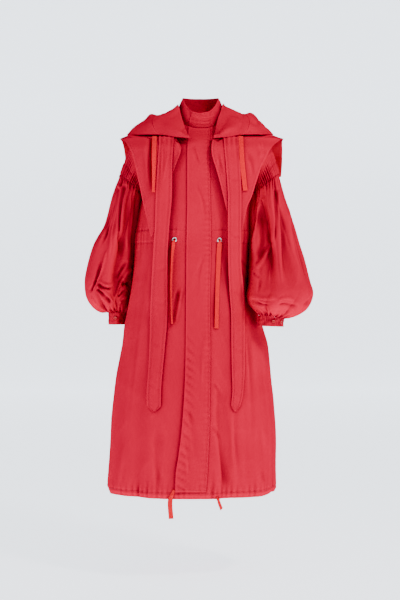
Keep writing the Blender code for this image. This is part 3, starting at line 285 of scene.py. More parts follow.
# ---------------------------------------------------------------- creases seen in the photograph
# Each row: points of the crease in the photograph, half width in pixels, height in millimetres
# (a trough is negative), and the shares of its length over which it grows and dies out.
COAT_CREASES = (
    (((222, 376), (220, 420), (224, 470), (226, 490)), 5.0, -5.0, 0.3, 0.3),
    (((231, 390), (233, 440), (236, 486)), 4.0, 3.0, 0.3, 0.2),
    (((245, 300), (252, 380), (256, 470)), 5.0, -3.0, 0.3, 0.3),
    (((183, 285), (179, 305), (174, 326)), 2.2, 3.0, 0.2, 0.3),
    (((178, 288), (174, 310), (169, 332)), 2.8, -4.0, 0.2, 0.3),
    (((150, 250), (141, 300), (134, 360), (128, 430)), 5.0, -3.0, 0.2, 0.4),
    (((139, 250), (132, 300), (124, 380)), 4.0, 2.5, 0.2, 0.4),
    (((192, 143), (196, 154), (200, 167)), 2.5, -1.6, 0.3, 0.4),
    (((195, 180), (203, 200), (208, 226)), 3.0, -1.4, 0.3, 0.3),
    (((206, 250), (199, 275), (196, 300)), 3.0, -1.2, 0.3, 0.3),
    (((187, 402), (193, 430), (196, 462)), 3.0, -1.6, 0.3, 0.4),
    (((181, 436), (186, 455), (188, 478)), 2.6, 1.6, 0.3, 0.3),
    (((208, 330), (203, 360), (202, 395)), 3.0, 1.3, 0.3, 0.4),
    (((237, 250), (243, 262), (250, 268)), 2.2, -2.0, 0.2, 0.3),
    (((238, 262), (244, 276), (251, 286)), 2.2, -1.5, 0.2, 0.3),
    (((216, 252), (222, 275), (224, 300)), 2.6, -1.6, 0.2, 0.5),
    (((170, 246), (164, 262), (160, 284)), 2.2, -1.6, 0.1, 0.5),
    (((259, 420), (263, 455), (264, 485)), 4.0, -3.0, 0.3, 0.2),
    (((160, 420), (157, 455), (158, 490)), 5.0, -3.0, 0.4, 0.2),
    (((124, 440), (121, 470), (121, 494)), 4.0, 2.5, 0.4, 0.2),
    (((211, 426), (218, 434), (223, 446)), 2.6, -1.8, 0.2, 0.5),
    (((213, 382), (219, 390), (223, 402)), 2.6, -1.5, 0.2, 0.5),
)
CAPE_CREASES = (
    (((151.5, 137), (151, 160), (151.5, 190)), 2.2, -3.0, 0.05, 0.4),
    (((146, 140), (147, 165), (150, 200)), 3.0, 1.6, 0.2, 0.4),
    (((167.5, 138), (168.5, 152), (169.5, 170)), 1.2, -1.6, 0.02, 0.5),
    (((171.5, 138), (172, 150), (172.5, 162)), 1.0, -1.6, 0.02, 0.5),
    (((174.5, 139), (179.6, 143), (181.2, 150)), 1.6, -4.0, 0.2, 0.3),
    (((182, 152), (177, 163), (172.5, 174)), 1.6, 2.2, 0.2, 0.2),
    (((247, 150), (252, 163), (254, 178)), 2.6, -1.6, 0.3, 0.4),
    (((259, 140), (262, 150), (262, 160)), 2.4, 1.6, 0.3, 0.3),
    (((217, 141), (220, 139), (223, 137.5)), 1.2, -2.5, 0.1, 0.1),
    (((218, 150), (221, 165), (224, 178)), 1.8, -1.5, 0.3, 0.4),
)
HOOD_CREASES = (
    (((160.5, 117), (166, 121), (172, 128), (176, 134)), 2.2, -1.8, 0.2, 0.3),
    (((152.5, 118), (154, 124), (157.5, 133)), 1.3, -2.0, 0.1, 0.1),
    (((147.5, 119), (148, 124), (151, 131)), 1.8, 1.4, 0.2, 0.3),
    (((163, 119.5), (170, 118.5), (177, 119)), 1.6, -1.3, 0.2, 0.3),
    (((247.8, 118), (246.5, 122), (245.3, 127)), 1.2, -2.0, 0.1, 0.4),
    (((243, 117.5), (243.2, 122), (242, 128)), 1.3, -1.6, 0.1, 0.4),
    (((222, 121), (230, 126), (240, 130)), 2.4, -1.4, 0.3, 0.3),
    (((221, 131), (233, 131.5), (247, 129)), 2.0, 1.4, 0.3, 0.3),
    (((131, 132), (139, 130), (148, 130.5)), 1.4, 1.0, 0.2, 0.3),
)
LEFT_SLEEVE_CREASES = (
    (((275.5, 188), (276.2, 210), (275.6, 232), (274.0, 246)), 1.9, -3.4, 0.05, 0.4),
    (((274.0, 236), (272.0, 256), (270.0, 276), (268.0, 296)), 2.2, 2.8, 0.2, 0.4),
    (((280.0, 205), (282.0, 235), (285.0, 262), (291.0, 292)), 3.4, -5.0, 0.3, 0.4),
    (((286.0, 200), (291.0, 235), (297.0, 268), (302.0, 290)), 3.4, 3.0, 0.2, 0.4),
    (((277.5, 190), (279.0, 222), (280.0, 255), (283.0, 288)), 2.2, 3.4, 0.05, 0.3),
    (((290.0, 215), (296.0, 243), (303.0, 268), (307.5, 288)), 2.4, -3.2, 0.2, 0.3),
    (((262.5, 198), (267.0, 214), (270.6, 231), (272.6, 243)), 1.9, 3.6, 0.05, 0.10),
    (((260.5, 204), (262.6, 225), (263.2, 245), (258.5, 264)), 5.2, -8.5, 0.25, 0.20),
    (((259.8, 200), (256.0, 220), (253.6, 240), (252.6, 262)), 1.8, 4.0, 0.1, 0.2),
    (((272.3, 243), (266.0, 254), (256.5, 270.5)), 2.9, 4.6, 0.10, 0.15),
    (((267.8, 245), (262.5, 254), (254.5, 266)), 2.6, -4.0, 0.15, 0.15),
    (((253.0, 272.5), (257.0, 276.0), (260.8, 277.5)), 1.1, -2.2, 0.1, 0.4),
    (((262.0, 262), (260.0, 280), (257.0, 296)), 2.6, -2.2, 0.3, 0.3),
    (((247.0, 300), (256.0, 302.5), (264.0, 305), (272.0, 306)), 2.4, -3.6, 0.2, 0.3),
    (((248.0, 296.5), (258.0, 298.5), (268.0, 299.5), (278.0, 298)), 2.4, 3.0, 0.15, 0.2),
    (((276.0, 306), (284.0, 303.5), (293.0, 306), (300.0, 307)), 2.4, -3.0, 0.3, 0.3),
    (((278.0, 301), (286.0, 299), (296.0, 301.5)), 1.8, 2.5, 0.2, 0.3),
    (((302.0, 306), (309.0, 301), (313.0, 294)), 1.6, -2.5, 0.2, 0.3),
)
RIGHT_SLEEVE_CREASES = (
    (((118.0, 186), (114.5, 200), (109.0, 218), (105.5, 233), (99.0, 249)), 2.2, -7.5, 0.06, 0.3),
    (((121.5, 184), (117.0, 205), (113.0, 228), (110.5, 250), (107.0, 262)), 2.0, 3.0, 0.05, 0.4),
    (((124.5, 184), (120.4, 205), (118.6, 226), (120.0, 245), (121.0, 262)), 2.0, -6.5, 0.06, 0.3),
    (((131.5, 186), (129.0, 210), (126.8, 234), (127.5, 255)), 2.2, 3.5, 0.05, 0.3),
    (((136.0, 188), (135.0, 215), (133.0, 240), (131.0, 262)), 1.8, -5.0, 0.06, 0.2),
    (((107.5, 250), (104.5, 262), (99.5, 277), (91.0, 293)), 1.7, 4.5, 0.2, 0.2),
    (((103.0, 256), (99.0, 270), (94.0, 284), (89.5, 292)), 1.8, -4.5, 0.3, 0.2),
    (((96.3, 280), (94.0, 286), (90.5, 293.5)), 1.0, -3.0, 0.1, 0.3),
    (((97.0, 284), (103.0, 287.5), (109.0, 289), (113.0, 287)), 1.3, -4.0, 0.1, 0.3),
    (((98.5, 281), (105.0, 284), (111.0, 285), (115.0, 280)), 1.6, 2.8, 0.2, 0.4),
    (((96.3, 289), (101.0, 293), (106.0, 298), (111.5, 303.5)), 1.8, -6.0, 0.1, 0.15),
    (((98.5, 287), (104.0, 291.5), (109.5, 296.5), (113.5, 302)), 1.4, 3.5, 0.1, 0.15),
    (((131.0, 267.5), (124.5, 277), (119.0, 285), (113.5, 304)), 1.7, 5.0, 0.05, 0.2),
    (((127.5, 262), (121.0, 270), (116.0, 280)), 1.8, -4.0, 0.1, 0.3),
    (((121.5, 284.5), (126.0, 284.0), (131.0, 284.5)), 2.6, -6.0, 0.1, 0.05),
    (((119.0, 303), (123.5, 298.5), (128.0, 295.5)), 1.2, 3.0, 0.1, 0.2),
    (((118.0, 297), (123.0, 293), (127.0, 290)), 1.2, -3.5, 0.1, 0.2),
    (((91.0, 296), (97.0, 304), (105.0, 308.5)), 1.6, 2.5, 0.2, 0.3),
)
# The same for the hidden side, in a picture taken from behind: x runs from the wearer's left.
BACK_CREASES = (
    (((150, 250), (156, 300), (152, 370)), 4.0, -3.0, 0.1, 0.4),
    (((176, 248), (172, 290), (177, 350)), 4.5, 2.5, 0.1, 0.4),
    (((201, 247), (206, 300), (199, 380)), 4.5, -3.0, 0.1, 0.4),
    (((226, 248), (222, 290), (228, 345)), 4.0, 2.5, 0.1, 0.4),
    (((247, 250), (250, 310), (258, 370)), 4.5, -3.0, 0.1, 0.4),
    (((168, 185), (178, 205), (195, 222)), 3.5, -3.0, 0.2, 0.3),
    (((236, 184), (226, 208), (214, 228)), 3.5, -3.0, 0.2, 0.3),
    (((150, 200), (166, 214), (186, 232)), 3.0, 2.4, 0.2, 0.3),
    (((252, 198), (243, 214), (226, 234)), 3.0, 2.2, 0.2, 0.3),
    (((190, 395), (186, 440), (191, 488)), 5.0, 3.5, 0.4, 0.2),
    (((232, 405), (236, 450), (233, 490)), 5.0, -4.0, 0.4, 0.2),
)
BACK_SLEEVE_CREASES = (
    (((118, 190), (112, 225), (108, 262)), 2.4, -5.0, 0.06, 0.3),
    (((126, 190), (124, 230), (120, 275)), 2.4, -5.0, 0.06, 0.3),
    (((110, 195), (103, 232), (96, 270)), 2.4, 3.5, 0.1, 0.3),
    (((92, 300), (103, 296), (117, 300)), 2.0, -4.0, 0.2, 0.2),
    (((98, 285), (108, 281), (122, 283)), 2.4, 3.0, 0.2, 0.3),
    (((266, 190), (270, 226), (273, 265)), 2.4, -5.0, 0.06, 0.3),
    (((277, 192), (284, 230), (290, 268)), 2.6, -5.0, 0.06, 0.3),
    (((283, 196), (293, 236), (301, 275)), 2.6, 3.5, 0.1, 0.3),
    (((262, 300), (277, 297), (300, 301)), 2.0, -4.0, 0.2, 0.2),
    (((258, 284), (273, 280), (292, 284)), 2.4, 3.0, 0.2, 0.3),
)
COLLAR_CREASES = (
    (((186, 118), (196, 120.5), (206, 121.5), (214, 119.5)), 1.2, -1.4, 0.2, 0.2),
    (((190, 114), (200, 117), (212, 116.5), (218, 113)), 1.3, 1.0, 0.2, 0.2),
    (((193, 124), (203, 125.2), (212, 124)), 1.0, -0.9, 0.2, 0.2),
    (((186, 106), (190, 112), (191, 120)), 1.4, -1.2, 0.2, 0.3),
    (((215, 103), (211, 110), (209, 118)), 1.6, -1.2, 0.2, 0.3),
)
STRAP_CREASES = (
    (((158.5, 140), (159.5, 160), (158.5, 186)), 1.3, -1.7, 0.05, 0.4),
    (((163.5, 140), (164.0, 158), (162.5, 176)), 1.2, -1.6, 0.05, 0.4),
    (((168.5, 150), (166.0, 165), (163.0, 182)), 1.4, 1.6, 0.2, 0.3),
    (((160, 145), (165, 152), (171, 156)), 1.3, -0.8, 0.2, 0.3),
    (((171, 262), (166, 268), (154, 272)), 1.6, -0.9, 0.2, 0.2),
    (((153, 300), (160, 304), (167, 303)), 1.8, -0.8, 0.2, 0.2),
    (((151, 342), (158, 347), (165, 352)), 1.6, -0.8, 0.2, 0.2),
    (((148, 384), (155, 388), (161, 392)), 1.4, -0.8, 0.2, 0.2),
    (((226, 175), (232, 180), (240, 181)), 1.4, -0.9, 0.2, 0.2),
    (((227, 230), (234, 236), (241, 236)), 1.6, -0.9, 0.2, 0.2),
    (((229, 290), (236, 293), (243, 297)), 1.6, -0.8, 0.2, 0.2),
    (((231, 345), (238, 350), (245, 350)), 1.6, -0.8, 0.2, 0.2),
    (((234, 392), (240, 396), (247, 398)), 1.4, -0.8, 0.2, 0.2),
)


# ---------------------------------------------------------------- reading the tables, on arrays
def smooth(table, column, at, key="level"):
    """Values of the table's column, on a curve through its rows that never overshoots."""
    xs = np.array(table[key], float)
    ys = np.array(table[column], float)
    at = np.clip(np.asarray(at, float), xs[0], xs[-1])
    i = np.clip(np.searchsorted(xs, at) - 1, 0, len(xs) - 2)
    steps = np.diff(xs)
    slopes = np.diff(ys) / steps
    before, after = slopes[:-1], slopes[1:]
    same = before * after > 0
    inner = np.where(same, 2 * before * after / np.where(same, before + after, 1), 0)
    tangents = np.concatenate([slopes[:1], inner, slopes[-1:]])
    t = (at - xs[i]) / steps[i]
    rise = ys[i] * (1 + 2 * t) * (1 - t) ** 2 + ys[i + 1] * t * t * (3 - 2 * t)
    lean = tangents[i] * t * (1 - t) ** 2 - tangents[i + 1] * t * t * (1 - t)
    return rise + lean * steps[i]


def through(points, at):
    """The points at the places `at`, counted in rows, on a smooth curve through the rows."""
    points = np.asarray(points, float)
    at = np.asarray(at, float)
    first = points[:1] * 2 - points[1:2]
    final = points[-1:] * 2 - points[-2:-1]
    padded = np.concatenate([first, points, final])
    i = np.clip(at.astype(int), 0, len(points) - 2)
    t = (at - i).reshape(at.shape + (1,) * (points.ndim - 1))
    p0, p1, p2, p3 = (padded[i + k] for k in range(4))
    bend = (p0 * 2 - p1 * 5 + p2 * 4 - p3) * t * t + (p1 * 3 - p0 - p2 * 3 + p3) * t ** 3
    return (p1 * 2 + (p2 - p0) * t + bend) * 0.5


def unit(vectors):
    return vectors / np.maximum(np.linalg.norm(vectors, axis=-1, keepdims=True), 1e-9)


def step(value):
    """0 to 1, easing in and out."""
    value = np.clip(value, 0, 1)
    return value * value * (3 - 2 * value)


def bump(offset):
    return np.where(np.abs(offset) < 1, np.cos(np.clip(offset, -1, 1) * pi / 2) ** 2, 0.0)


def hill(offset, width):
    """1 at no offset, dying out on both sides."""
    return np.exp(-(offset / width) ** 2)


def columns(table, *keys):
    return [np.array(table[key], float) for key in keys]


# ---------------------------------------------------------------- forms, from the section tables
def arm_share(level):
    return np.clip((level - ARM_FOOT) / (ARM_TOP - ARM_FOOT), 0, 1)


def arm_edge(level, side):
    half = ARM_HALF_FOOT + (ARM_HALF_TOP - ARM_HALF_FOOT) * arm_share(level)
    return smooth(COAT, "middle", level) + side * half


def half_width(table, level):
    plain = smooth(table, "half", level)
    if table is not COAT:
        return plain
    share = arm_share(level)
    power = smooth(COAT, "power", level)
    across = ARM_DEPTH * np.sqrt(np.maximum(1 - (2 * share - 1) ** 2, 0))
    cut = (1 - (across / smooth(COAT, "front", level)) ** power) ** (1 / power)
    beside = (ARM_HALF_FOOT + (ARM_HALF_TOP - ARM_HALF_FOOT) * share) / cut
    return np.where((share > 0) & (share < 1), beside, plain)


def drape(angle, level):
    grown = np.clip((WAIST - level) / (WAIST - HEM_LEVEL), 0, 1)
    turned = (angle + 80) % 360 - 80
    rows = zip(SKIRT_FOLDS["angle"], SKIRT_FOLDS["half"], SKIRT_FOLDS["out"])
    return grown * sum(out * bump((turned - centre) / half) for centre, half, out in rows)


def ring(table, angle, level):
    angle, level = np.broadcast_arrays(np.asarray(angle, float), np.asarray(level, float))
    turn = np.radians(angle)
    half = half_width(table, level)
    depth = np.where(np.cos(turn) > 0, smooth(table, "front", level), smooth(table, "back", level))
    power = smooth(table, "power", level)
    reach = (np.abs(np.sin(turn) / half) ** power
             + np.abs(np.cos(turn) / depth) ** power) ** (-1 / power)
    if table is COAT:
        reach = reach + drape(angle, level)
    blend = step((level + NECK_ZONE) / NECK_ZONE)
    tilt = (-NECK_DROP * np.maximum(np.cos(turn), 0) ** 1.5
            + NAPE_RISE * np.maximum(-np.cos(turn), 0))
    x = smooth(table, "middle", level) + reach * np.sin(turn)
    return np.stack([x, -reach * np.cos(turn), level + blend * tilt], axis=-1)


def angle_at(table, x, level, back=False):
    half = half_width(table, level)
    power = smooth(table, "power", level)
    off = np.clip((x - smooth(table, "middle", level)) / half, -1, 1)
    depth = smooth(table, "back" if back else "front", level)
    y = depth * (1 - np.abs(off) ** power) ** (1 / power)
    return np.degrees(np.arctan2(off * half, -y if back else y))


def slopes_of(surface, u, v, step_u, step_v):
    """The unit normals of a surface function, on the side that its two directions turn to."""
    along = surface(u + step_u, v) - surface(u - step_u, v)
    up = surface(u, v + step_v) - surface(u, v - step_v)
    return unit(np.cross(along, up))


def on_form(table, angle, level, height=0.0):
    """Points this far above a section table's form, and the normals there."""
    normals = slopes_of(lambda a, b: ring(table, a, b), angle, level, 0.5,
                        0.002 if table is COAT else 0.001)
    return ring(table, angle, level) + normals * height, normals


def side_angle(level, side, back):
    level = np.asarray(level, float)
    found = angle_at(COAT, arm_edge(level, side), level, back)
    if back and side < 0:
        found = found % 360
    plain = side * 90.0 % 360 if back else side * 90.0
    return np.where((level <= ARM_FOOT) | (level >= ARM_TOP), plain, found)


def front_at(x, level, extra=0.0):
    """On the cape above its tip and on the coat below it, and the normals there."""
    share = step((level - STRAP_REST) / STRAP_RISE)[..., None]
    low, low_normal = on_form(COAT, angle_at(COAT, x, level), level, STRAP_OVER_COAT + extra)
    cape_level = np.maximum(level, CAPE["level"][0])
    high, high_normal = on_form(CAPE, angle_at(CAPE, x, cape_level), cape_level,
                                STRAP_OVER_CAPE + extra)
    at = low + (high - low) * share
    at[..., 2] = low[..., 2]
    return at, unit(low_normal + (high_normal - low_normal) * share)


# ---------------------------------------------------------------- creases, gathers and unevenness
CREASE_STEPS = 8        # stretches of line between two points of a crease
CREASE_REACH = 3.2      # half widths from its line at which a crease ends
CREASE_LEAN = 0.28      # share by which one side is wider, and the other narrower, than its half width


def creased(points, normals, rows, behind=False):
    """Heights of the creases at these points, from where they fall in the picture."""
    scale = 1.0 if behind else (points[..., 1] - CAMERA[1]) / -CAMERA[1]
    across = (points[..., 0] - CAMERA[0]) / (PIXEL * scale)
    px = PHOTO_SIZE[0] / 2 + (-across if behind else across)
    py = PHOTO_SIZE[1] / 2 - (points[..., 2] - CAMERA[2]) / (PIXEL * scale)
    facing = np.clip((normals[..., 1] * (1 if behind else -1) - 0.02) / 0.35, 0, 1)
    height = np.zeros(px.shape)
    for number, (path, half, lift, start, end) in enumerate(rows):
        line = through(path, np.linspace(0, len(path) - 1, CREASE_STEPS * (len(path) - 1) + 1))
        low, high = line.min(axis=0) - half * CREASE_REACH, line.max(axis=0) + half * CREASE_REACH
        near = (px > low[0]) & (px < high[0]) & (py > low[1]) & (py < high[1]) & (facing > 0)
        if not near.any():
            continue
        at = np.stack([px[near], py[near]], axis=-1)[:, None]
        begin, ahead = line[None, :-1], (line[1:] - line[:-1])[None]
        t = np.clip(((at - begin) * ahead).sum(-1) / (ahead ** 2).sum(-1), 0, 1)
        away = at - (begin + ahead * t[..., None])
        far = np.sqrt((away ** 2).sum(-1))
        k = far.argmin(axis=1)
        rest = np.arange(len(k))
        s = (k + t[rest, k]) / (len(line) - 1)
        turned = ahead[0, k, 0] * away[rest, k, 1] - ahead[0, k, 1] * away[rest, k, 0]
        lean = CREASE_LEAN if number % 2 else -CREASE_LEAN
        wide = half * (1 + lean * np.sign(turned)) * (0.85 + 0.3 * np.sin(s * 7 + number))
        grow = step(s / max(start, 0.01)) * step((1 - s) / max(end, 0.01))
        uneven = 1 + 0.18 * np.sin(s * 11 + number * 1.7)
        height[near] += lift * 0.001 * uneven * grow * facing[near] * hill(far[rest, k], wide)
    return height


# Unevenness of each piece: height in metres, size of its features, seed, and their stretch in Z.
DRIFT = {"coat": (0.0012, 0.14, 11, 2.2), "collar": (0.0007, 0.06, 21, 1),
         "cape": (0.0011, 0.10, 31, 1.6), "hood": (0.0018, 0.09, 41, 1),
         "sleeve_left": (0.0008, 0.07, 57, 1.5), "sleeve_right": (0.0008, 0.07, 67, 1.5),
         "sleeve_top": (0.0006, 0.08, 73, 1), "cuff": (0.0016, 0.026, 71, 1),
         "strap": (0.0005, 0.08, 81, 2)}
# The same for sharp-edged folds.
RIDGES = {"coat": (0.0008, 0.11, 12, 2), "collar": (0.0006, 0.05, 22, 1),
          "cape": (0.0007, 0.08, 32, 1.5), "hood": (0.0040, 0.095, 42, 1),
          "sleeve_left": (0.0030, 0.15, 56, 2.4), "sleeve_right": (0.0030, 0.15, 66, 2.4),
          "cuff": (0.0016, 0.03, 74, 1)}
# Gathers, the finest first: height in metres, count round the piece, and seed.
GATHERS = {"casing": ((0.0030, 66, 3), (0.0038, 27, 4)),
           "hem": ((0.0030, 84, 5), (0.0040, 34, 6)),
           "cape_neck": ((0.0006, 50, 33),),
           "shirring_left": ((0.0072, 46, 50), (0.0080, 23, 51), (0.0062, 9, 52)),
           "shirring_right": ((0.0072, 46, 60), (0.0080, 23, 61), (0.0095, 9, 62)),
           "above_cuff_left": ((0.0058, 38, 53), (0.0085, 19, 54), (0.0080, 8, 55)),
           "above_cuff_right": ((0.0058, 38, 63), (0.0085, 19, 64), (0.0080, 8, 65))}
# How many times deeper than in their tables the creases are made.
DEEPER = {"coat": 1.5, "cape": 2.0, "hood": 3.0, "sleeve": 1.5, "sleeve_behind": 1.3}
WAVES = 14              # sine waves in the unevenness
WAVES_TOTAL = 6.5       # what their sum is divided by, to come near -1 to 1
RIDGE_TOP = 0.6         # sharp-edged folds reach from this height down by RIDGE_DEPTH
RIDGE_DEPTH = 1.6


def waves(points, size, seed, stretch):
    """Soft random heights from -1 to 1, with features of this size, longer in Z by the stretch."""
    rng = np.random.default_rng(seed)
    total = np.zeros(points.shape[:-1])
    for _ in range(WAVES):
        way = unit(rng.normal(size=3)) * rng.uniform(0.6, 1.6) * 2 * pi / size
        way[2] /= stretch
        total += np.sin(points @ way + rng.uniform(0, 2 * pi))
    return total / WAVES_TOTAL


def drift(points, part):
    height, *kind = DRIFT[part]
    return height * waves(points, *kind)


def ridges(points, part):
    """Random sharp-edged folds, as in crisp cloth."""
    height, *kind = RIDGES[part]
    return height * (RIDGE_TOP - np.abs(waves(points, *kind)) * RIDGE_DEPTH)


def pleats(turn, count, seed):
    """Irregular gathers round a turn in radians: broad crests with narrow valleys."""
    rng = np.random.default_rng(seed)
    warp = sum(rng.uniform(0.10, 0.28) * np.sin(turn * k + rng.uniform(0, 6)) for k in (3, 5, 8, 13))
    crest = np.abs(np.cos((turn * count + warp * 2.2) / 2)) - 0.64
    return crest * (0.75 + 0.35 * np.sin(turn * 5 + seed) + 0.2 * np.sin(turn * 11 + 2 * seed))


def gathered(turn, place_of, *shares):
    """Sum of the gathers of one place: the shares say how much of each shows at the points."""
    return sum(lift * share * pleats(turn, count, seed)
               for share, (lift, count, seed) in zip(shares, GATHERS[place_of]))


def puckered(level, pitch, sway, rate, off):
    """Small waves along a seam, dying out with the share of the width that a point is off it."""
    return np.sin(level * 2 * pi / pitch + sway * np.sin(level * rate)) * hill(off, 0.2)


WAIST_LINES = (-0.3650, -0.4030)    # rows of stitching along the casings
HEM_LINE = HEM_LEVEL + 0.019
FRONT_SHARE = 0.35      # how much of the waist's gathers the middle of the front keeps
BACK_SHARE = 0.8        # and the middle of the back
WAIST_REACH = (0.016, 0.055)    # how far from those lines the fine and the broad gathers die out
HEM_REACH = (0.020, 0.045)
CASING_RAISED = 0.0010
HEM_CURL = 0.0050       # how far the edge below the hem's line turns in
WAIST_GROOVE = (0.0010, 0.003)  # sunk rows of stitching: depth and half width
HEM_GROOVE = (0.0008, 0.0035)
FLAT_BY_FLY = 0.004     # cloth left flat beside the fly, and the width over which relief grows
RISE_BY_FLY = 0.035
FLAT_BY_EYELET = 0.015
# Where the skirt is fuller beside the cuffs: side, height, middle level and half its span.
SKIRT_SIDES = ((1, 0.0090, -0.632, 0.035), (-1, 0.0085, -0.640, 0.065))


def eye_of(word):
    x, level = EYELETS[word]
    return on_form(COAT, angle_at(COAT, x, np.array(level)), np.array(level))


def coat_relief(base, normals, angle, level):
    """Everything that stirs the coat's surface, the same for each layer that lies on it."""
    turn = np.radians(angle)
    sideways = FRONT_SHARE + (1 - FRONT_SHARE) * step((np.abs(np.sin(turn)) - 0.35) / 0.4)
    sideways = np.maximum(sideways, np.where(np.cos(turn) < 0, BACK_SHARE, 0))
    to_line = np.minimum(np.abs(level - WAIST_LINES[0]), np.abs(level - WAIST_LINES[1]))
    between = (level < WAIST_LINES[0]) & (level > WAIST_LINES[1])
    close = np.where(between, 1.0, np.exp(-(to_line / WAIST_REACH[0]) ** 1.4))
    height = sideways * gathered(turn, "casing", close, hill(to_line, WAIST_REACH[1]))
    depth, half = WAIST_GROOVE
    height = height - depth * sideways * hill(to_line, half) + CASING_RAISED * between
    to_hem = np.abs(level - HEM_LINE)
    height = height + gathered(turn, "hem", *(hill(to_hem, reach) for reach in HEM_REACH))
    depth, half = HEM_GROOVE
    height = height - HEM_CURL * step((HEM_LINE - 0.006 - level) / 0.013) - depth * hill(to_hem, half)
    x = base[..., 0]
    beside_fly = np.maximum(smooth(FLY, "free", level) - x, x - smooth(FLY, "sewn", level))
    flat = step((beside_fly - FLAT_BY_FLY) / RISE_BY_FLY)
    height = height * np.where((np.cos(turn) > 0) & (level > -0.9), flat, 1.0)
    outward = step((np.abs(np.sin(turn)) - 0.75) / 0.2)
    for side, lift, middle, half in SKIRT_SIDES:
        height = height + lift * outward * (np.sin(turn) * side > 0) * hill(level - middle, half)
    lower = step((WAIST - level) / 0.25)
    height = height + drift(base, "coat") * (0.5 + lower)
    height = height + ridges(base, "coat") * (0.6 + lower)
    height = height + DEEPER["coat"] * creased(base, normals, COAT_CREASES)
    height = height + creased(base, normals, BACK_CREASES, behind=True)
    for word in EYELETS:
        off = np.linalg.norm(base - eye_of(word)[0], axis=-1)
        height = height * (1 - hill(off, FLAT_BY_EYELET))
    return height


# ---------------------------------------------------------------- building meshes
def grid_quads(rows, cols, closed=True):
    """For a grid of points: their indices, each column's and the next one's, and the quads between.
    Closed, the last column joins the first."""
    index = np.arange(rows * cols).reshape(rows, cols)
    here = index if closed else index[:, :-1]
    beside = np.roll(index, -1, axis=1) if closed else index[:, 1:]
    quads = np.stack([here[:-1], beside[:-1], beside[1:], here[1:]], axis=-1).reshape(-1, 4)
    return index, here, beside, quads


def mesh_object(name, verts, quads, uvs, surface):
    mesh = bpy.data.meshes.new(name)
    mesh.vertices.add(len(verts))
    mesh.vertices.foreach_set("co", np.asarray(verts, np.float32).ravel())
    mesh.loops.add(quads.size)
    mesh.loops.foreach_set("vertex_index", quads.astype(np.int32).ravel())
    mesh.polygons.add(len(quads))
    mesh.polygons.foreach_set("loop_start", np.arange(0, quads.size, quads.shape[1], dtype=np.int32))
    mesh.polygons.foreach_set("use_smooth", np.ones(len(quads), bool))
    mesh.update(calc_edges=True)
    mesh.validate()
    if uvs is not None:
        layer = mesh.uv_layers.new(name="metres")
        layer.data.foreach_set("uv", np.asarray(uvs, np.float32)[quads.ravel()].ravel())
    mesh.set_sharp_from_angle(angle=radians(55))
    mesh.materials.append(surface)
    obj = bpy.data.objects.new(name, mesh)
    bpy.context.scene.collection.objects.link(obj)
    return obj


def place(obj, node=None):
    """The piece rides on the body, in the place of the solid `node` if there is one."""
    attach(obj, BODY)
    if node:
        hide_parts(node)


MADE = {}       # for each node its piece, its grid of outer points, and their normals


def shell(node, outer, like, closed=False, holes=()):
    """A thin wall of cloth in place of a solid: a grid of points, and the same moved in."""
    normals = facing_of(outer, like, closed)
    rows, cols = outer.shape[:2]
    count = rows * cols
    index, here, beside, front = grid_quads(rows, cols, closed)
    middle = front[len(front) // 2]
    flat = outer.reshape(-1, 3)
    facing = np.cross(flat[middle[1]] - flat[middle[0]], flat[middle[3]] - flat[middle[0]])
    turned = facing @ normals.reshape(-1, 3)[middle[0]] < 0
    if holes:
        centres = flat[front].mean(axis=1)
        keep = np.ones(len(front), bool)
        for eye, axis in holes:
            away = centres - eye
            off = np.linalg.norm(away - np.outer(away @ axis, axis), axis=1)
            keep &= ~((off < EYELET_HOLE + 0.0006) & (np.linalg.norm(away, axis=1) < 0.02))
        front = front[keep]
    rims = [(beside[0], here[0]), (here[-1], beside[-1])]
    if not closed:
        rims += [(index[:-1, 0], index[1:, 0]), (index[1:, -1], index[:-1, -1])]
    walls = [np.stack([a, b, b + count, a + count], axis=-1) for a, b in rims]
    quads = np.concatenate([front, front[:, ::-1] + count] + walls)
    if turned:
        quads = quads[:, ::-1]
    across = np.linalg.norm(np.diff(outer, axis=1), axis=-1).mean(axis=0)
    up = np.linalg.norm(np.diff(outer, axis=0), axis=-1).mean(axis=1)
    u = np.concatenate([[0], np.cumsum(across)])
    v = np.concatenate([[0], np.cumsum(up)])
    uv = np.stack(np.broadcast_arrays(u[None, :], v[:, None]), axis=-1).reshape(-1, 2)
    verts = np.concatenate([flat, (outer - normals * CLOTH).reshape(-1, 3)])
    obj = mesh_object("cloth_" + node, verts, quads, np.concatenate([uv, uv]), CLOTH_SURFACE)
    place(obj, node)
    MADE[node] = (obj, outer, normals)


def spread(start, end, level, count):
    """A grid whose rows run evenly from start to end, and the level of each of its points."""
    start, end = np.atleast_1d(start)[:, None], np.atleast_1d(end)[:, None]
    values = start + (end - start) * np.linspace(0, 1, count)[None, :]
    return values, np.asarray(level)[:, None] + 0 * values


def spans(*rows):
    """Places from one span to the next: (start, end, count), the last one with its end."""
    parts = [np.linspace(*row, endpoint=False) for row in rows[:-1]]
    return np.concatenate(parts + [np.linspace(*rows[-1])])


def levels_of(*rows):
    """Levels from one span to the next: (start, end, step) in metres."""
    parts = [np.linspace(a, b, max(int(round((b - a) / d)), 1), endpoint=False) for a, b, d in rows]
    return np.concatenate(parts + [[rows[-1][1]]])


def form_piece(node, table, angle, level, relief, height=0.0, holes=()):
    """A piece lying on a section table's form."""
    base, normals = on_form(table, angle, level)
    lift = height + relief(base, normals, angle, level)
    shell(node, base + normals * lift[..., None], normals, holes=holes)


def facing_of(points, like, closed=False):
    """Normals of a grid itself, turned to the same side as `like`."""
    if closed:
        wrapped = np.concatenate([points[:, -1:], points, points[:, :1]], axis=1)
        along = wrapped[:, 2:] - wrapped[:, :-2]
    else:
        along = np.gradient(points, axis=1)
    found = unit(np.cross(along, np.gradient(points, axis=0)))
    return found * np.sign((found * like).sum(-1, keepdims=True) + 1e-9)


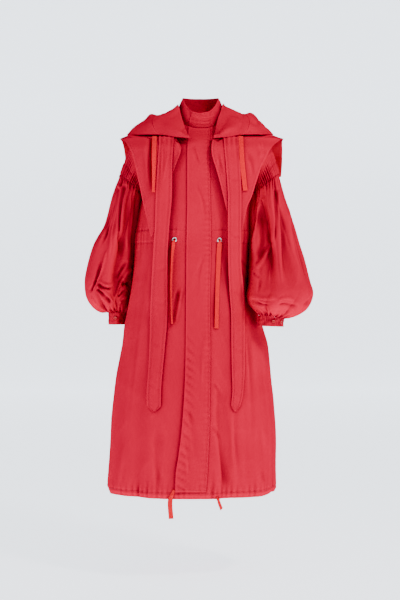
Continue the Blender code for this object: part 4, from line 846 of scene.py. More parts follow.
# ---------------------------------------------------------------- materials
def nodes_of(name):
    made = bpy.data.materials.new(name)
    made.use_nodes = True
    return made, made.node_tree, made.node_tree.nodes["Principled BSDF"]


def put(node, **values):
    """Sets the node's own properties, or else its inputs of these names."""
    for key, value in values.items():
        if hasattr(node, key):
            setattr(node, key, value)
        else:
            node.inputs[key.replace("_", " ")].default_value = value


def add(tree, kind, **values):
    node = tree.nodes.new("ShaderNode" + kind)
    put(node, **values)
    return node


def textured(tree, kind, space, **values):
    """A texture node, laid out in this space."""
    node = add(tree, "Tex" + kind, **values)
    tree.links.new(space, node.inputs["Vector"])
    return node.outputs["Fac"]


def maths(tree, operation, first, second):
    """A math node on a socket and on another socket or a number."""
    node = add(tree, "Math", operation=operation)
    tree.links.new(first, node.inputs[0])
    if isinstance(second, float):
        node.inputs[1].default_value = second
    else:
        tree.links.new(second, node.inputs[1])
    return node.outputs["Value"]


def mixed(tree, colour, scale, spread, space):
    """A colour that is a little uneven over the surface."""
    ramp = add(tree, "ValToRGB")
    for stop, position, share in zip(ramp.color_ramp.elements, (0.3, 0.7), (1 - spread, 1 + spread)):
        stop.position = position
        stop.color = (*[min(c * share, 1) for c in colour], 1)
    noise = textured(tree, "Noise", space, Scale=scale, Detail=3.0, Roughness=0.6)
    tree.links.new(noise, ramp.inputs["Fac"])
    return ramp.outputs["Color"]


def bumped(tree, shader, layers):
    """Chains bump nodes: (height socket, strength, distance in metres)."""
    last = None
    for height, strength, distance in layers:
        node = add(tree, "Bump", Strength=strength, Distance=distance)
        tree.links.new(height, node.inputs["Height"])
        if last is not None:
            tree.links.new(last.outputs["Normal"], node.inputs["Normal"])
        last = node
    tree.links.new(last.outputs["Normal"], shader.inputs["Normal"])


def cloth_material():
    """Closely woven weather cloth: matt, crisp, with a fine grain and small crinkles. Its colour
    carries painted shade: darker in its hollows and where two surfaces lie close, a little lighter on
    ridges."""
    made, tree, shader = nodes_of("red_weather_cloth")
    coords = add(tree, "TexCoord")
    space, flat = coords.outputs["Object"], coords.outputs["UV"]
    # Painted shade from the mesh's pointiness: colour darker in hollows, a little lighter on ridges.
    sunk = add(tree, "MapRange", From_Min=0.46, From_Max=0.52, To_Min=0.64, To_Max=1.03)
    tree.links.new(add(tree, "NewGeometry").outputs["Pointiness"], sunk.inputs["Value"])
    # Painted shade where surfaces lie close: ambient occlusion darkens the colour, to no less than 0.44
    # of it.
    shade = add(tree, "AmbientOcclusion", samples=6, Distance=0.032)
    painted_contact_shade = maths(tree, "MAXIMUM", maths(tree, "POWER", shade.outputs["AO"], 1.5), 0.44)
    # The cloth's uneven colour times both painted shades.
    colour_with_painted_shade = add(tree, "VectorMath", operation="SCALE")
    tree.links.new(mixed(tree, CLOTH_COLOUR, 9.0, 0.035, space), colour_with_painted_shade.inputs[0])
    tree.links.new(maths(tree, "MULTIPLY", sunk.outputs["Result"], painted_contact_shade), colour_with_painted_shade.inputs["Scale"])
    tree.links.new(colour_with_painted_shade.outputs["Vector"], shader.inputs["Base Color"])
    put(shader, Roughness=0.55, IOR=1.0)
    across, up = (textured(tree, "Wave", flat, wave_type="BANDS", bands_direction=axis, Scale=330.0)
                  for axis in "XY")
    crinkle = textured(tree, "Noise", space, Scale=26.0, Detail=4.0, Roughness=0.55, Distortion=0.4)
    grain = textured(tree, "Noise", space, Scale=420.0, Detail=2.0)
    bumped(tree, shader, [(crinkle, 0.55, 0.0030), (grain, 0.25, 0.0004),
                          (maths(tree, "MAXIMUM", across, up), 0.20, 0.0002)])
    return made


def ribbed_material(name, colour, roughness, scale):
    """Woven tape: ribs across it and a grain."""
    made, tree, shader = nodes_of(name)
    coords = add(tree, "TexCoord")
    base = mixed(tree, colour, 60.0, 0.06, coords.outputs["Object"])
    tree.links.new(base, shader.inputs["Base Color"])
    put(shader, Roughness=roughness, IOR=1.1)
    ribs, lines = (textured(tree, "Wave", coords.outputs["UV"], wave_type="BANDS", bands_direction=axis,
                            Scale=size) for axis, size in (("Y", scale), ("X", scale * 1.3)))
    bumped(tree, shader, [(ribs, 0.5, 0.0004), (lines, 0.35, 0.0003)])
    return made


def plain_material(name, colour, roughness, metallic, scale, spread, strength=0.15):
    """Metal, enamel, thread or floor: a slightly uneven colour and a faint relief."""
    made, tree, shader = nodes_of(name)
    space = add(tree, "TexCoord").outputs["Object"]
    tree.links.new(mixed(tree, colour, scale, spread, space), shader.inputs["Base Color"])
    put(shader, Roughness=roughness, Metallic=metallic)
    grain = textured(tree, "Noise", space, Scale=scale * 5, Detail=3.0)
    bumped(tree, shader, [(grain, strength, 0.0003)])
    return made


CLOTH_COLOUR = (0.72, 0.0, 0.036)
CLOTH_SURFACE = cloth_material()
TAPE_SURFACE = ribbed_material("orange_red_tape", (0.90, 0.004, 0.020), 0.75, 260.0)
METAL = plain_material("brushed_silver", (0.90, 0.90, 0.90), 0.38, 1.0, 240.0, 0.04)
SNAP_PAINT = plain_material("red_enamel", (0.62, 0.004, 0.016), 0.34, 0.0, 160.0, 0.05)
THREAD = plain_material("red_thread", (0.50, 0.0, 0.018), 0.55, 0.0, 900.0, 0.10, 0.4)


# ---------------------------------------------------------------- the coat's body
BODY_LEVELS = levels_of((HEM_LEVEL, HEM_LEVEL + 0.036, 0.003), (HEM_LEVEL + 0.036, -0.45, 0.0060),
                        (-0.45, -0.33, 0.003), (-0.33, -0.0010, 0.0055))
BODY_COLUMNS = {"front_left": 86, "front_right": 90, "back": 156, "fly": 44}
FLY_LOOSE = -0.70       # the fly's free edge stands off further from this level down
FLY_LIFT = (0.0014, 0.0045)     # how far it stands off above, and how much more below
FLY_SEAM = 0.93         # place of the fly's seam, as a share of its width
FLY_SUNK = 0.0007       # depth of the groove there
FLY_PUCKER = 0.0005
DRAG_FROM = -0.64       # drag marks slant off the free edge from this level down
DRAG_DEPTH = 0.0019
DRAG_PITCH = 0.029
DRAG_SLANT = 0.065      # how far a mark would fall over the whole width


def back_relief(base, normals, angle, level):
    height = coat_relief(base, normals, angle, level)
    height[:, [0, -1]] -= SEAM_SINK
    return height


def fly_relief(base, normals, angle, level):
    """The coat's own relief, the raised free edge, the sewn edge's groove, and drag marks."""
    share = np.linspace(0, 1, base.shape[1])[None, :]
    loose = step((FLY_LOOSE - level) / 0.25)
    beside = share - FLY_SEAM
    height = coat_relief(base, normals, angle, level)
    height = height + (FLY_LIFT[0] + FLY_LIFT[1] * loose) * hill(share, 0.08 + 0.12 * loose)
    height = height - FLY_SUNK * hill(beside, 0.05)
    pucker = puckered(level, 0.017, 1.5, 31, beside)
    slant = (level + DRAG_SLANT * share) * 2 * pi / DRAG_PITCH + 2.2 * np.sin(level * 23)
    drag = np.maximum(np.sin(slant), 0) ** 2 * hill(share - 0.14, 0.22)
    return height + FLY_PUCKER * pucker - DRAG_DEPTH * drag * step((DRAG_FROM - level) / 0.12)


def build_body():
    level = BODY_LEVELS
    meet = smooth(FLY, "sewn", level) - FRONTS_MEET
    grid = spread(angle_at(COAT, meet + FRONTS_GAP, level), side_angle(level, 1, False) - SEAM_TURN,
                  level, BODY_COLUMNS["front_left"])
    form_piece("front_left", COAT, *grid, coat_relief, holes=(eye_of("left"),))
    grid = spread(side_angle(level, -1, False) + SEAM_TURN, angle_at(COAT, meet, level), level,
                  BODY_COLUMNS["front_right"])
    form_piece("front_right", COAT, *grid, coat_relief, holes=(eye_of("right"),))
    end = side_angle(level, -1, True)
    end = np.where(end > 0, end, end + 360)
    grid = spread(side_angle(level, 1, True) - SEAM_LAP, end + SEAM_LAP, level, BODY_COLUMNS["back"])
    form_piece("back", COAT, *grid, back_relief)
    inside = (level > FLY_FOOT + 0.002) & (level < FLY_TOP - 0.002)
    level = np.concatenate([[FLY_FOOT], level[inside], [FLY_TOP]])
    free, sewn = (angle_at(COAT, smooth(FLY, edge, level), level) for edge in ("free", "sewn"))
    form_piece("fly", COAT, *spread(free, sewn, level, BODY_COLUMNS["fly"]), fly_relief, FLY_HEIGHT)


def collar_point(angle, up):
    angle, up = np.broadcast_arrays(np.asarray(angle, float), np.asarray(up, float))
    turned = angle % 360
    away = np.minimum(turned, 360 - turned)
    turn = np.radians(turned)
    depth = np.where(np.cos(turn) > 0, COLLAR_FRONT, COLLAR_BACK)
    top = np.stack([COLLAR_HALF * np.sin(turn), -depth * np.cos(turn),
                    smooth(COLLAR_TOP, "z", away, key="angle")], axis=-1)
    base = ring(COAT, turned, -0.0005) + np.array([0, 0, SEAM])
    at = base + (top - base) * up[..., None]
    inward = COLLAR_LAP * (angle - COLLAR_START) / (COLLAR_END - COLLAR_START)
    out = np.stack([np.sin(turn), -np.cos(turn), 0 * turn], axis=-1)
    return at + out * (COLLAR_SWELL * np.sin(pi * up) + COLLAR_LAP - inward)[..., None]


def build_collar():
    rows, cols = COLLAR_GRID
    up, angle = np.meshgrid(np.linspace(0, 1, rows), np.linspace(COLLAR_START, COLLAR_END, cols),
                            indexing="ij")
    base = collar_point(angle, up)
    normals = slopes_of(collar_point, angle, up, 1.0, 0.02)
    height = creased(base, normals, COLLAR_CREASES)
    height = height + drift(base, "collar") + ridges(base, "collar")
    shell("collar", base + normals * height[..., None], normals)


# ---------------------------------------------------------------- the cape and the hood
SHOULDER_LIFT = (0.0058, 0.222, 0.022)      # of the cape under the hood's tips: height, x and reach
CAPE_COLUMNS = {"front": 44, "back": 130}
NECK_ROWS = 8           # rows of the cape from the shoulder's level up to the neck
HOOD_COLUMNS = {"side": 56, "middle": 150}
HOOD_GROOVE = (0.0012, 0.035)   # along the hood's seams: depth, and half width in stations


def neck_level(angle):
    return smooth(CAPE_NECK, "level", np.minimum(angle % 360, 360 - angle % 360), "angle")


def cape_relief(base, normals, angle, level):
    height = DEEPER["cape"] * creased(base, normals, CAPE_CREASES)
    height = height + drift(base, "cape") + ridges(base, "cape")
    lift, x, reach = SHOULDER_LIFT
    height = height + lift * step((level + 0.085) / 0.02) * hill(np.abs(base[..., 0]) - x, reach)
    return height + gathered(np.radians(angle), "cape_neck", hill(level - neck_level(angle), 0.03))


def cape_piece(node, start, end, level, count):
    """A piece of the cape, with more rows from the shoulder's level up to the neck."""
    angles, level = spread(start, end, level, count)
    over = np.linspace(0, 1, NECK_ROWS + 1)[1:, None]
    angles = np.concatenate([angles, np.repeat(angles[-1:], NECK_ROWS, axis=0)])
    level = np.concatenate([level, CAPE_SHOULDER + (neck_level(angles[-1:]) - CAPE_SHOULDER) * over])
    form_piece(node, CAPE, angles, level, cape_relief)


def build_cape():
    for word, edges, side in (("left", LEFT_CAPE_EDGES, 1), ("right", RIGHT_CAPE_EDGES, -1)):
        foot = edges["level"][0]
        level = levels_of((foot, foot + 0.02, 0.004), (foot + 0.02, CAPE_SHOULDER, 0.0048))
        inner, outer = (angle_at(CAPE, smooth(edges, edge, level), level) for edge in ("inner", "outer"))
        outer[-1] = side * (90 - SEAM_TURN)
        cape_piece("cape_front_" + word, np.minimum(inner, outer), np.maximum(inner, outer), level,
                   CAPE_COLUMNS["front"])
    level = levels_of((CAPE_HEM, CAPE_SHOULDER, 0.0042))
    start, end = (angle_at(CAPE, smooth(BACK_CAPE_EDGES, edge, level), level, back=True) % 360
                  for edge in ("left", "right"))
    start[-1], end[-1] = 90 + SEAM_TURN, 270 - SEAM_TURN
    cape_piece("cape_back", start, end, level, CAPE_COLUMNS["back"])


def hood_side(side):
    """Control points of one side, stations by places, from the seam on the cape to the rim."""
    row = dict(zip(HOOD, columns(HOOD, *HOOD)))
    drop = row["right_drop"] if side < 0 else 0.0
    level_of_fold = row["fold_level"] - (row["right_fall"] if side < 0 else 0.0)
    seam_angle, fold_angle = side * row["seam_angle"], side * row["fold_angle"]
    neck = smooth(CAPE_NECK, "level", np.abs(seam_angle), key="angle")
    seam, _ = on_form(CAPE, seam_angle, neck + SEAM + 0.0005, 0.0009)
    raised, _ = on_form(CAPE, seam_angle, neck + 0.0012, HOOD_RAISED)

    def over_cape(share, height):
        lift = height[0] + height[1] * row["fold_height"]
        return on_form(CAPE, seam_angle + (fold_angle - seam_angle) * share,
                       neck + (level_of_fold - neck) * share, lift[:, None])[0]

    def turned_back(name):
        return np.stack([side * row[name + "_x"], row[name + "_y"], row[name + "_z"] - drop], axis=-1)

    fold = over_cape(1, HOOD_FOLD)
    crown, rim = turned_back("crown"), turned_back("rim")
    between = (crown + rim) / 2
    between[:, 2] -= row["sag"]
    rise = unit(fold - ring(CAPE, fold_angle, level_of_fold))
    over = fold + (crown - fold) * 0.45 + rise * HOOD_ROUND
    return np.stack([seam, raised, over_cape(0.55, HOOD_UNDER), over_cape(0.93, HOOD_NEAR), fold, over,
                     crown, between, rim], axis=1)


def build_hood():
    control = np.concatenate([hood_side(1), hood_side(-1)[:-1][::-1]])
    last = len(control) - 1
    places = spans((0, 3.3, 26), (3.3, 4.6, 16), (4.6, RIM_PLACE, 40))

    def point(along, across):
        lines = through(control.transpose(1, 0, 2), np.clip(across[:, 0], 0, RIM_PLACE))
        return np.stack([through(line, a) for line, a in zip(lines, along)])

    share = np.clip((places - FOLD_PLACE) / (RIM_PLACE - FOLD_PLACE), 0, 1)
    seam = HOOD_SEAM_FOLD + (HOOD_SEAM_RIM - HOOD_SEAM_FOLD) * share
    near, beyond = seam - HOOD_SEAM_GAP, seam + HOOD_SEAM_GAP
    for node, start, end, part in (("hood_left", 0 * seam, near, "side"),
                                   ("hood_middle", beyond, last - beyond, "middle"),
                                   ("hood_right", last - near, last + 0 * seam, "side")):
        along, across = spread(start, end, places, HOOD_COLUMNS[part])
        base = point(along, across)
        normals = -slopes_of(point, along, across, 0.02, 0.02)
        outer_layer = step((across - 4.2) / 0.8)
        edge = np.minimum(np.abs(along - seam[:, None]), np.abs(along - last + seam[:, None]))
        uneven = drift(base, "hood") + ridges(base, "hood")
        height = DEEPER["hood"] * creased(base, normals, HOOD_CREASES)
        height = height + outer_layer * (uneven - HOOD_GROOVE[0] * hill(edge, HOOD_GROOVE[1]))
        shell(node, base + normals * height[..., None], normals)


# ---------------------------------------------------------------- the sleeves
SHIRRING = {1: (0.62, 1.35), -1: (0.58, 1.12)}      # stations of its first and last row, by side
CUFF_TOP = 11
CUFF_FOOT = 12
SHIRRING_GROOVE = (0.0022, 0.055)       # at its rows of stitching: depth, and half width in stations
BALLOON = (1.5, 10.5)   # stations between which the cloth is uneven
CUFF_GATHERS = (0.0010, 0.0012, 30, 72)     # height, how much is added at its top, count and seed
# Stations and columns of each part of a sleeve. Station 0 is the armhole, and 1 its table's first row.
SLEEVE_PARTS = {
    "sleeve_top_": (np.linspace(0, 1, 22), 260),
    "sleeve_": (spans((1, 3.2, 46), (3.2, 8, 66), (8, CUFF_TOP, 20)), 260),
    "cuff_": (np.linspace(CUFF_TOP, CUFF_FOOT, 14), 144),
}


def armhole_point(phase, side):
    level = (ARM_TOP + ARM_FOOT) / 2 + (ARM_TOP - ARM_FOOT) / 2 * np.cos(np.radians(phase)) * 0.99999
    ahead = side_angle(level, side, False) - side * SEAM_TURN
    behind = side_angle(level, side, True) + side * SEAM_TURN
    return ring(COAT, np.where(phase % 360 > 180, behind, ahead), level)


def sleeve_surface(table, side):
    """The sleeve's form, on grids whose rows keep one station and all have the same phases."""
    def stations(phase):
        turn = np.radians(phase)
        axis = unit(np.array([side * (ARM_TOP - ARM_FOOT), 0, ARM_HALF_FOOT - ARM_HALF_TOP]))
        hollow = bump((phase - HOLLOW_AT) / HOLLOW_HALF)
        belly = bump((phase - BELLY_AT[side]) / BELLY_HALF)
        lines = [armhole_point(phase, side) + axis * ARM_GAP]
        rows = zip(*(table[key] for key in ("x", "y", "z", "across", "depth", "tilt", "fold", "hollow")),
                   LEFT_BELLY if side > 0 else RIGHT_BELLY)
        for x, y, z, half, depth, tilt, fold, sunk, full in rows:
            ripple = fold * np.cos(FOLDS * turn + 0.7) * (0.6 + 0.4 * np.cos(turn))
            ripple = ripple - sunk * hollow + full * belly
            across = (half + ripple) * np.cos(turn)
            lines.append(np.stack([x + side * cos(radians(tilt)) * across,
                                   y - (depth + ripple) * np.sin(turn),
                                   z + sin(radians(tilt)) * across], axis=-1))
        return np.stack(lines)

    return lambda phase, along: through(stations(phase[0]), along[:, 0])


def sleeve_relief(base, normals, phase, along, side, creases):
    """Shirring, gathers that merge into broad folds, gathers over the cuff, and the creases."""
    turn = np.radians(phase) + 0.10 * np.sin(along * 1.3)
    upper, lower = SHIRRING[side]
    word = "left" if side > 0 else "right"
    above, below = np.clip(upper - along, 0, None), np.clip(along - lower, 0, None)
    inside = (along > upper) & (along < lower)
    fine = np.where(inside, 1.0, hill(above, 0.30) * np.exp(-(below / 0.50) ** 1.6))
    middle = hill(above, 0.2) * step(below / 0.4 + 0.3) * hill(below, 1.05)
    broad = step(below / 1.0) * hill(np.clip(below - 1.2, 0, None), 2.0)
    height = gathered(turn, "shirring_" + word, fine, middle, broad)
    rows = np.minimum(np.abs(along - upper), np.abs(along - lower))
    height = height - SHIRRING_GROOVE[0] * hill(rows, SHIRRING_GROOVE[1])
    to_cuff = np.clip(CUFF_TOP - along, 0, None)
    middle = step(to_cuff / 0.9 + 0.3) * hill(np.clip(to_cuff - 0.8, 0, None), 0.9)
    broad = step((to_cuff - 0.6) / 1.4) * hill(np.clip(to_cuff - 2.0, 0, None), 1.5)
    height = height + gathered(turn, "above_cuff_" + word, hill(to_cuff, 1.1), middle, broad)
    ballooned = step((along - BALLOON[0]) / 2) * step((BALLOON[1] - along) / 2)
    height = height + ballooned * (ridges(base, "sleeve_" + word) + drift(base, "sleeve_" + word))
    height = height + DEEPER["sleeve"] * creased(base, normals, creases)
    return height + DEEPER["sleeve_behind"] * creased(base, normals, BACK_SLEEVE_CREASES, True)


def cuff_relief(base, phase, along):
    lift, more, count, seed = CUFF_GATHERS
    gathers = (lift + more * hill(along - CUFF_TOP, 0.35)) * pleats(np.radians(phase), count, seed)
    return drift(base, "cuff") + ridges(base, "cuff") + gathers


def build_sleeves():
    for word, table, side, creases in (("left", LEFT_SLEEVE, 1, LEFT_SLEEVE_CREASES),
                                       ("right", RIGHT_SLEEVE, -1, RIGHT_SLEEVE_CREASES)):
        point = sleeve_surface(table, side)
        for part, (places, count) in SLEEVE_PARTS.items():
            along, phase = np.meshgrid(places, np.arange(count) * 360 / count, indexing="ij")
            base = point(phase, along)
            normals = slopes_of(point, phase, along, 1.5, 0.02) * side
            if part == "cuff_":
                height = cuff_relief(base, phase, along)
            else:
                height = sleeve_relief(base, normals, phase, along, side, creases)
            if part == "sleeve_top_":
                height = height * step(along / 0.3) + drift(base, "sleeve_top")
            shell(part + word, base + normals * height[..., None], normals, closed=True)


# ---------------------------------------------------------------- straps and tapes
STRAP_COLUMNS = 17
STRAP_EDGE = 0.0007     # how far its edges stand up
STRAP_GROOVE = (0.0005, 0.17, 0.07)     # at its stitching: depth, place and half width as shares of it
STRAP_PUCKER = 0.00035
STRAP_WAVES = (0.0010, 3)       # under the hood: height and count across


def build_straps():
    for word, edges in (("left", LEFT_STRAP), ("right", RIGHT_STRAP)):
        foot = edges["level"][0]
        levels = levels_of((foot, foot + 0.024, 0.003), (foot + 0.024, CAPE_SHOULDER, 0.006))
        inner, outer = smooth(edges, "inner", levels), smooth(edges, "outer", levels)
        x, level = spread(np.minimum(inner, outer), np.maximum(inner, outer), levels, STRAP_COLUMNS)
        base, normals = front_at(x, level)
        share = np.linspace(0, 1, STRAP_COLUMNS)[None, :]
        edge = np.minimum(share, 1 - share)
        height = creased(base, normals, STRAP_CREASES)
        depth, at, half = STRAP_GROOVE
        height = height + STRAP_EDGE * hill(edge, 0.06) - depth * hill(edge - at, half)
        height = height + STRAP_PUCKER * puckered(level, 0.014, 2, 29, edge) + drift(base, "strap")
        lift, count = STRAP_WAVES
        height = height + lift * np.cos(share * 2 * pi * count) * hill(level + 0.072, 0.035)
        rests = coat_relief(base, normals, angle_at(COAT, x, level), level)
        height = height + rests * step((STRAP_REST + 0.1 - level) / 0.1)
        shell("strap_" + word, base + normals * height[..., None], normals)


def on_coat(table):
    x, level, height = columns(table, "x", "level", "height")
    return on_form(COAT, angle_at(COAT, x, level), level, height[:, None])


def on_cape(table):
    x, level, height = columns(table, "x", "level", "height")
    return front_at(x, level, height[:, None])


def past_hem(table):
    x, level, height = columns(table, "x", "level", "height")
    held = np.maximum(level, HEM_LEVEL)
    at, normals = on_form(COAT, angle_at(COAT, x, held), held, height[:, None])
    at[:, 2] = level
    return at, normals


def power_of(values, power):
    return np.sign(values) * np.abs(values) ** power


def tape(node, table, centre):
    """A flat woven tape with rounded edges. Returns its piece, its centreline and its length."""
    points, normals = centre(table)
    last = len(points) - 1
    at = np.linspace(0, last, last * 14 + 1)
    path = through(points, at)
    along = unit(through(points, np.minimum(at + 0.05, last)) - through(points, np.maximum(at - 0.05, 0)))
    wide = unit(np.cross(along, through(normals, at)))
    face = unit(np.cross(wide, along))
    turn, width = (through(column[:, None], at) for column in columns(table, "turn", "wide"))
    turn = np.radians(turn) + 0.10 * np.sin(np.linspace(0, 9, len(at)))[:, None]
    width = width * TAPE_WIDTH / 2
    across = wide * np.cos(turn) + face * np.sin(turn)
    facing = face * np.cos(turn) - wide * np.sin(turn)
    section = np.linspace(0, 2 * pi, 20, endpoint=False)
    side = power_of(np.cos(section), 0.5)
    lift = power_of(np.sin(section), 0.6) * TAPE_THICK / 2 - 0.0008 * (side ** 2 - 0.4)
    rings = (path[:, None] + across[:, None] * (side[None, :, None] * width[:, None])
             + facing[:, None] * lift[None, :, None])
    index, _, _, quads = grid_quads(len(path), len(section))
    caps = [np.stack([index[k, :9], index[k, 1:10], index[k, -2:-11:-1], index[k, -1:-10:-1]], axis=-1)
            for k in (0, -1)]
    run = np.concatenate([[0], np.cumsum(np.linalg.norm(np.diff(path, axis=0), axis=1))])
    uv = np.stack(np.broadcast_arrays(side[None, :] * TAPE_WIDTH / 2, run[:, None]), axis=-1)
    obj = mesh_object("tape_" + node, rings.reshape(-1, 3), np.concatenate([quads, *caps]),
                      uv.reshape(-1, 2), TAPE_SURFACE)
    work = bmesh.new()
    work.from_mesh(obj.data)
    bmesh.ops.recalc_face_normals(work, faces=work.faces)
    work.to_mesh(obj.data)
    work.free()
    place(obj, node)
    return obj, path, float(run[-1])


def build_tapes():
    """The ends of the drawcords, each a tape. The left one at the hem is too short to hang as a free
    cord.
    """
    for node, table, centre, is_cord in (("waist_tape_left", LEFT_WAIST_TAPE, on_coat, True),
                                         ("waist_tape_right", RIGHT_WAIST_TAPE, on_coat, True),
                                         ("hood_tape_left", LEFT_HOOD_TAPE, on_cape, True),
                                         ("hood_tape_right", RIGHT_HOOD_TAPE, on_cape, True),
                                         ("hem_tape_right", RIGHT_HEM_TAPE, past_hem, True),
                                         ("hem_tape_left", LEFT_HEM_TAPE, past_hem, False)):
        obj, path, length = tape(node, table, centre)


# ---------------------------------------------------------------- eyelets, snaps and knots
# Turned profiles: (radius, height along the axis), in metres.
KNOT_PROFILE = ((0.0022, -0.0040), (0.0040, -0.0034), (0.0048, -0.0016), (0.0044, 0.0002),
                (0.0050, 0.0016), (0.0042, 0.0034), (0.0022, 0.0040))
EYELET_PROFILE = ((0.0042, -0.0016), (0.0042, 0.0002), (0.0044, 0.0012), (0.0050, 0.0021),
                  (0.0059, 0.0024), (0.0069, 0.0020), (0.0077, 0.0010), (0.0080, 0.0002),
                  (0.0078, -0.0002))
SNAP_PROFILE = ((0.0001, 0.0009), (0.0018, 0.0010), (0.0026, 0.0014), (0.0033, 0.0021),
                (0.0041, 0.0023), (0.0049, 0.0019), (0.0054, 0.0010), (0.0055, -0.0001))


def lathe(name, profile, at, normal, surface, node=None, segments=48):
    """A turned piece: its profile, taken round the normal at this point."""
    turned = Vector(normal).normalized().to_track_quat("Z", "Y").to_matrix()
    angle = np.linspace(0, 2 * pi, segments, endpoint=False)
    profile = np.array(profile, float)
    rings = np.stack([profile[:, :1] * np.cos(angle), profile[:, :1] * np.sin(angle),
                      profile[:, 1:] + 0 * angle], axis=-1)
    rings = rings @ np.array(turned).T + np.array(at)
    obj = mesh_object(name, rings.reshape(-1, 3), grid_quads(len(profile), segments)[-1], None, surface)
    place(obj, node)


def build_metal():
    for word in EYELETS:
        at, normal = eye_of(word)
        lathe("eyelet_ring_" + word, EYELET_PROFILE, at + normal * SEAM, normal, METAL,
              "eyelet_" + word)
    for name, table, side, phase in (("left_1", LEFT_SLEEVE, 1, 40.0), ("left_2", LEFT_SLEEVE, 1, 82.0),
                                     ("right_1", RIGHT_SLEEVE, -1, 84.0)):
        point = sleeve_surface(table, side)
        angle, along = np.array([[phase]]), np.array([[(CUFF_TOP + CUFF_FOOT) / 2]])
        normal = slopes_of(point, angle, along, 1.5, 0.02)[0, 0] * side
        lathe("cuff_snap_cap_" + name, SNAP_PROFILE, point(angle, along)[0, 0] + normal * SEAM, normal,
              SNAP_PAINT, "cuff_snap_" + name)


def build_knots():
    """The knots near the ends of the hem's cord."""
    for word, table, station in (("left", LEFT_HEM_TAPE, 1.6), ("right", RIGHT_HEM_TAPE, 1.8)):
        before, at, after = through(past_hem(table)[0], station + np.array([-0.1, 0.0, 0.1]))
        lathe("hem_knot_" + word, KNOT_PROFILE, at, after - before, TAPE_SURFACE, segments=24)


# ---------------------------------------------------------------- stitching
STITCH = 0.0032
PITCH = 0.0046
THREAD_RADIUS = 0.00036
# Rows of stitches: the group's name, the piece, its edges, and how far in from them.
SEWN_EDGES = (
    ("cape", "cape_front_left", ("start", "end"), 0.0070),
    ("cape", "cape_front_right", ("start", "end"), 0.0070),
    ("cape", "cape_back", ("bottom", "start", "end"), 0.0080),
    ("hood", "hood_left", ("end",), 0.0040), ("hood", "hood_right", ("start",), 0.0040),
    ("hood", "hood_middle", ("start", "end"), 0.0040),
    ("hood", "hood_left", ("top",), 0.0180), ("hood", "hood_middle", ("top",), 0.0180),
    ("hood", "hood_right", ("top",), 0.0180),
    ("sleeves", "cuff_left", ("top", "bottom"), 0.0040),
    ("sleeves", "cuff_right", ("top", "bottom"), 0.0040),
    ("straps", "strap_left", ("start", "end"), 0.0068),
    ("straps", "strap_right", ("start", "end"), 0.0068),
)
# Half lengths along a stitch and its thickness there, and the section: shares of its radius.
STITCH_ENDS = ((-1.0, 0.25), (-0.55, 1.0), (0.55, 1.0), (1.0, 0.25))
STITCH_SECTION = ((-1, 0.0), (0, 1.0), (1, 0.0), (0, -0.6))
STITCH_SUNK = 0.0001


def interpolated(at, run, line):
    return np.stack([np.interp(at, run, line[:, k]) for k in range(3)], axis=-1)


def inset_line(node, edge, inset):
    """A line on a piece's surface, this far in from one of its edges."""
    _, points, normals = MADE[node]
    if edge in ("top", "bottom"):
        points, normals = points.transpose(1, 0, 2), normals.transpose(1, 0, 2)
    if edge in ("top", "end"):
        points, normals = points[:, ::-1], normals[:, ::-1]
    run = np.linalg.norm(np.diff(points, axis=1), axis=-1)
    run = np.concatenate([np.zeros((len(run), 1)), np.cumsum(run, axis=1)], axis=1)
    rows = [k for k in range(len(run)) if run[k, -1] >= inset * 2]
    line, facing = ([interpolated(inset, run[k], grid[k]) for k in rows] for grid in (points, normals))
    return np.array(line), unit(np.array(facing))


def level_line(node, level):
    """The row of a piece whose points lie nearest to a level."""
    _, points, normals = MADE[node]
    k = int(np.abs(points[:, :, 2].mean(axis=1) - level).argmin())
    return points[k], normals[k]


def shirring_line(word, station):
    """The closed row of a sleeve that lies nearest to a station."""
    part = "sleeve_top_" if station < 1 else "sleeve_"
    k = int(np.abs(SLEEVE_PARTS[part][0] - station).argmin())
    return [np.concatenate([grid[k], grid[k][:1]]) for grid in MADE[part + word][1:]]


def dashes(lines):
    """Stitches along the lines, each a small spindle half sunk in the cloth."""
    verts, quads = [], []
    _, _, _, sides = grid_quads(len(STITCH_ENDS), len(STITCH_SECTION))
    last = len(STITCH_ENDS) * len(STITCH_SECTION)
    spindle = np.concatenate([sides, [[3, 2, 1, 0]], [list(range(last - 4, last))]])
    for line, facing in lines:
        run = np.concatenate([[0], np.cumsum(np.linalg.norm(np.diff(line, axis=0), axis=1))])
        count = int(run[-1] / PITCH)
        if count < 1:
            continue
        places = (np.arange(count) + 0.5) * run[-1] / count
        ends = [interpolated(places + share * STITCH / 2, run, line) for share, _ in STITCH_ENDS]
        up = unit(interpolated(places, run, facing))
        across = unit(np.cross(unit(ends[3] - ends[0]), up))
        rings = [end + (across * s + up * h) * THREAD_RADIUS * thick + up * STITCH_SUNK
                 for end, (_, thick) in zip(ends, STITCH_ENDS) for s, h in STITCH_SECTION]
        start = sum(len(v) for v in verts)
        verts.append(np.stack(rings, axis=1).reshape(-1, 3))
        quads.append((start + np.arange(count)[:, None, None] * last + spindle).reshape(-1, 4))
    return np.concatenate(verts), np.concatenate(quads)


def build_stitches():
    groups = {"coat": [inset_line("fly", "end", 0.0030), inset_line("fly", "bottom", 0.0060)]}
    for node in ("front_left", "front_right", "back"):
        groups["coat"] += [level_line(node, level) for level in (HEM_LINE, *WAIST_LINES)]
    groups["coat"] += [inset_line("collar", "top", 0.0045), inset_line("collar", "bottom", 0.0035)]
    for name, node, edges, inset in SEWN_EDGES:
        groups.setdefault(name, []).extend(inset_line(node, edge, inset) for edge in edges)
    for word, side in (("left", 1), ("right", -1)):
        groups["sleeves"] += [shirring_line(word, station) for station in SHIRRING[side]]
    for name, lines in groups.items():
        place(mesh_object("stitches_" + name, *dashes(lines), None, THREAD))


def declare_sheets():
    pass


# ---------------------------------------------------------------- studio and camera
FLOOR = -1.446
FLOOR_FRONT = -10.0     # where the floor starts, and where it begins to curve up into the backdrop
FLOOR_BACK = 9.0
SWEEP = 3.0             # radius of that curve
BACKDROP_TOP = 8.0
PAPER_GLOW = 2.3
WORLD_LIGHT = 0.16
AIM = (0, 0, -0.6)
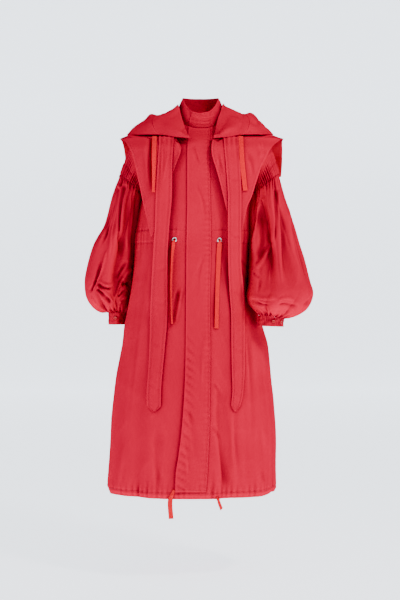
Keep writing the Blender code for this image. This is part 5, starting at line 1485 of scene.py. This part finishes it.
# Lamps: name, place, size in metres and power in watts.
LAMPS = (("key", (1.7, -1.9, 2.0), 0.55, 70.0), ("fill", (-2.4, -3.0, 1.2), 1.4, 11.0),
         ("above", (0.0, -0.5, 3.2), 2.4, 31.0))


def build_studio():
    """A seamless pale floor and backdrop, and lamps at the upper right, the left and above."""
    curve = np.linspace(0, pi / 2, 13)
    profile = [(FLOOR_FRONT, FLOOR), *zip(FLOOR_BACK + SWEEP * np.sin(curve),
                                          FLOOR + SWEEP * (1 - np.cos(curve))),
               (FLOOR_BACK + SWEEP, BACKDROP_TOP)]
    sides = np.linspace(-12, 12, 15)
    verts = [(x, y, z) for y, z in profile for x in sides]
    paper = plain_material("pale_paper", (0.80, 0.83, 0.87), 0.9, 0.0, 1.5, 0.008, 0.02)
    put(paper.node_tree.nodes["Principled BSDF"], Emission_Color=(0.84, 0.91, 1.0, 1),
        Emission_Strength=PAPER_GLOW)
    quads = grid_quads(len(profile), len(sides), closed=False)[-1]
    backdrop = mesh_object("studio_backdrop", verts, quads, None, paper)

    world = bpy.data.worlds.new("studio")
    bpy.context.scene.world = world
    world.use_nodes = True
    put(world.node_tree.nodes["Background"], Color=(0.93, 0.96, 1.0, 1), Strength=WORLD_LIGHT)

    for name, at, size, power in LAMPS:
        light = bpy.data.lights.new(name, "AREA")
        light.shape = "DISK"
        light.size = size
        light.energy = power
        lamp = bpy.data.objects.new(name, light)
        lamp.location = at
        lamp.rotation_mode = "QUATERNION"
        lamp.rotation_quaternion = (Vector(AIM) - Vector(at)).to_track_quat("-Z", "Y")
        bpy.context.scene.collection.objects.link(lamp)


def build_camera():
    """The photograph's view: its whole height shows PHOTO_SIZE pixels of PIXEL at the coat."""
    lens = bpy.data.cameras.new("photograph_view")
    lens.sensor_fit = "VERTICAL"
    lens.sensor_height = SENSOR
    lens.lens = SENSOR * -CAMERA[1] / (PHOTO_SIZE[1] * PIXEL)
    lens.clip_end = 30
    camera = bpy.data.objects.new("photograph_view", lens)
    camera.location = CAMERA
    camera.rotation_euler = (radians(90), 0, 0)
    scene = bpy.context.scene
    scene.collection.objects.link(camera)
    scene.camera = camera
    scene.render.resolution_x, scene.render.resolution_y = PHOTO_SIZE


for build in (build_body, build_collar, build_cape, build_hood, build_sleeves, build_straps,
              build_tapes, build_metal, build_knots, build_stitches, declare_sheets, build_studio,
              build_camera):
    build()
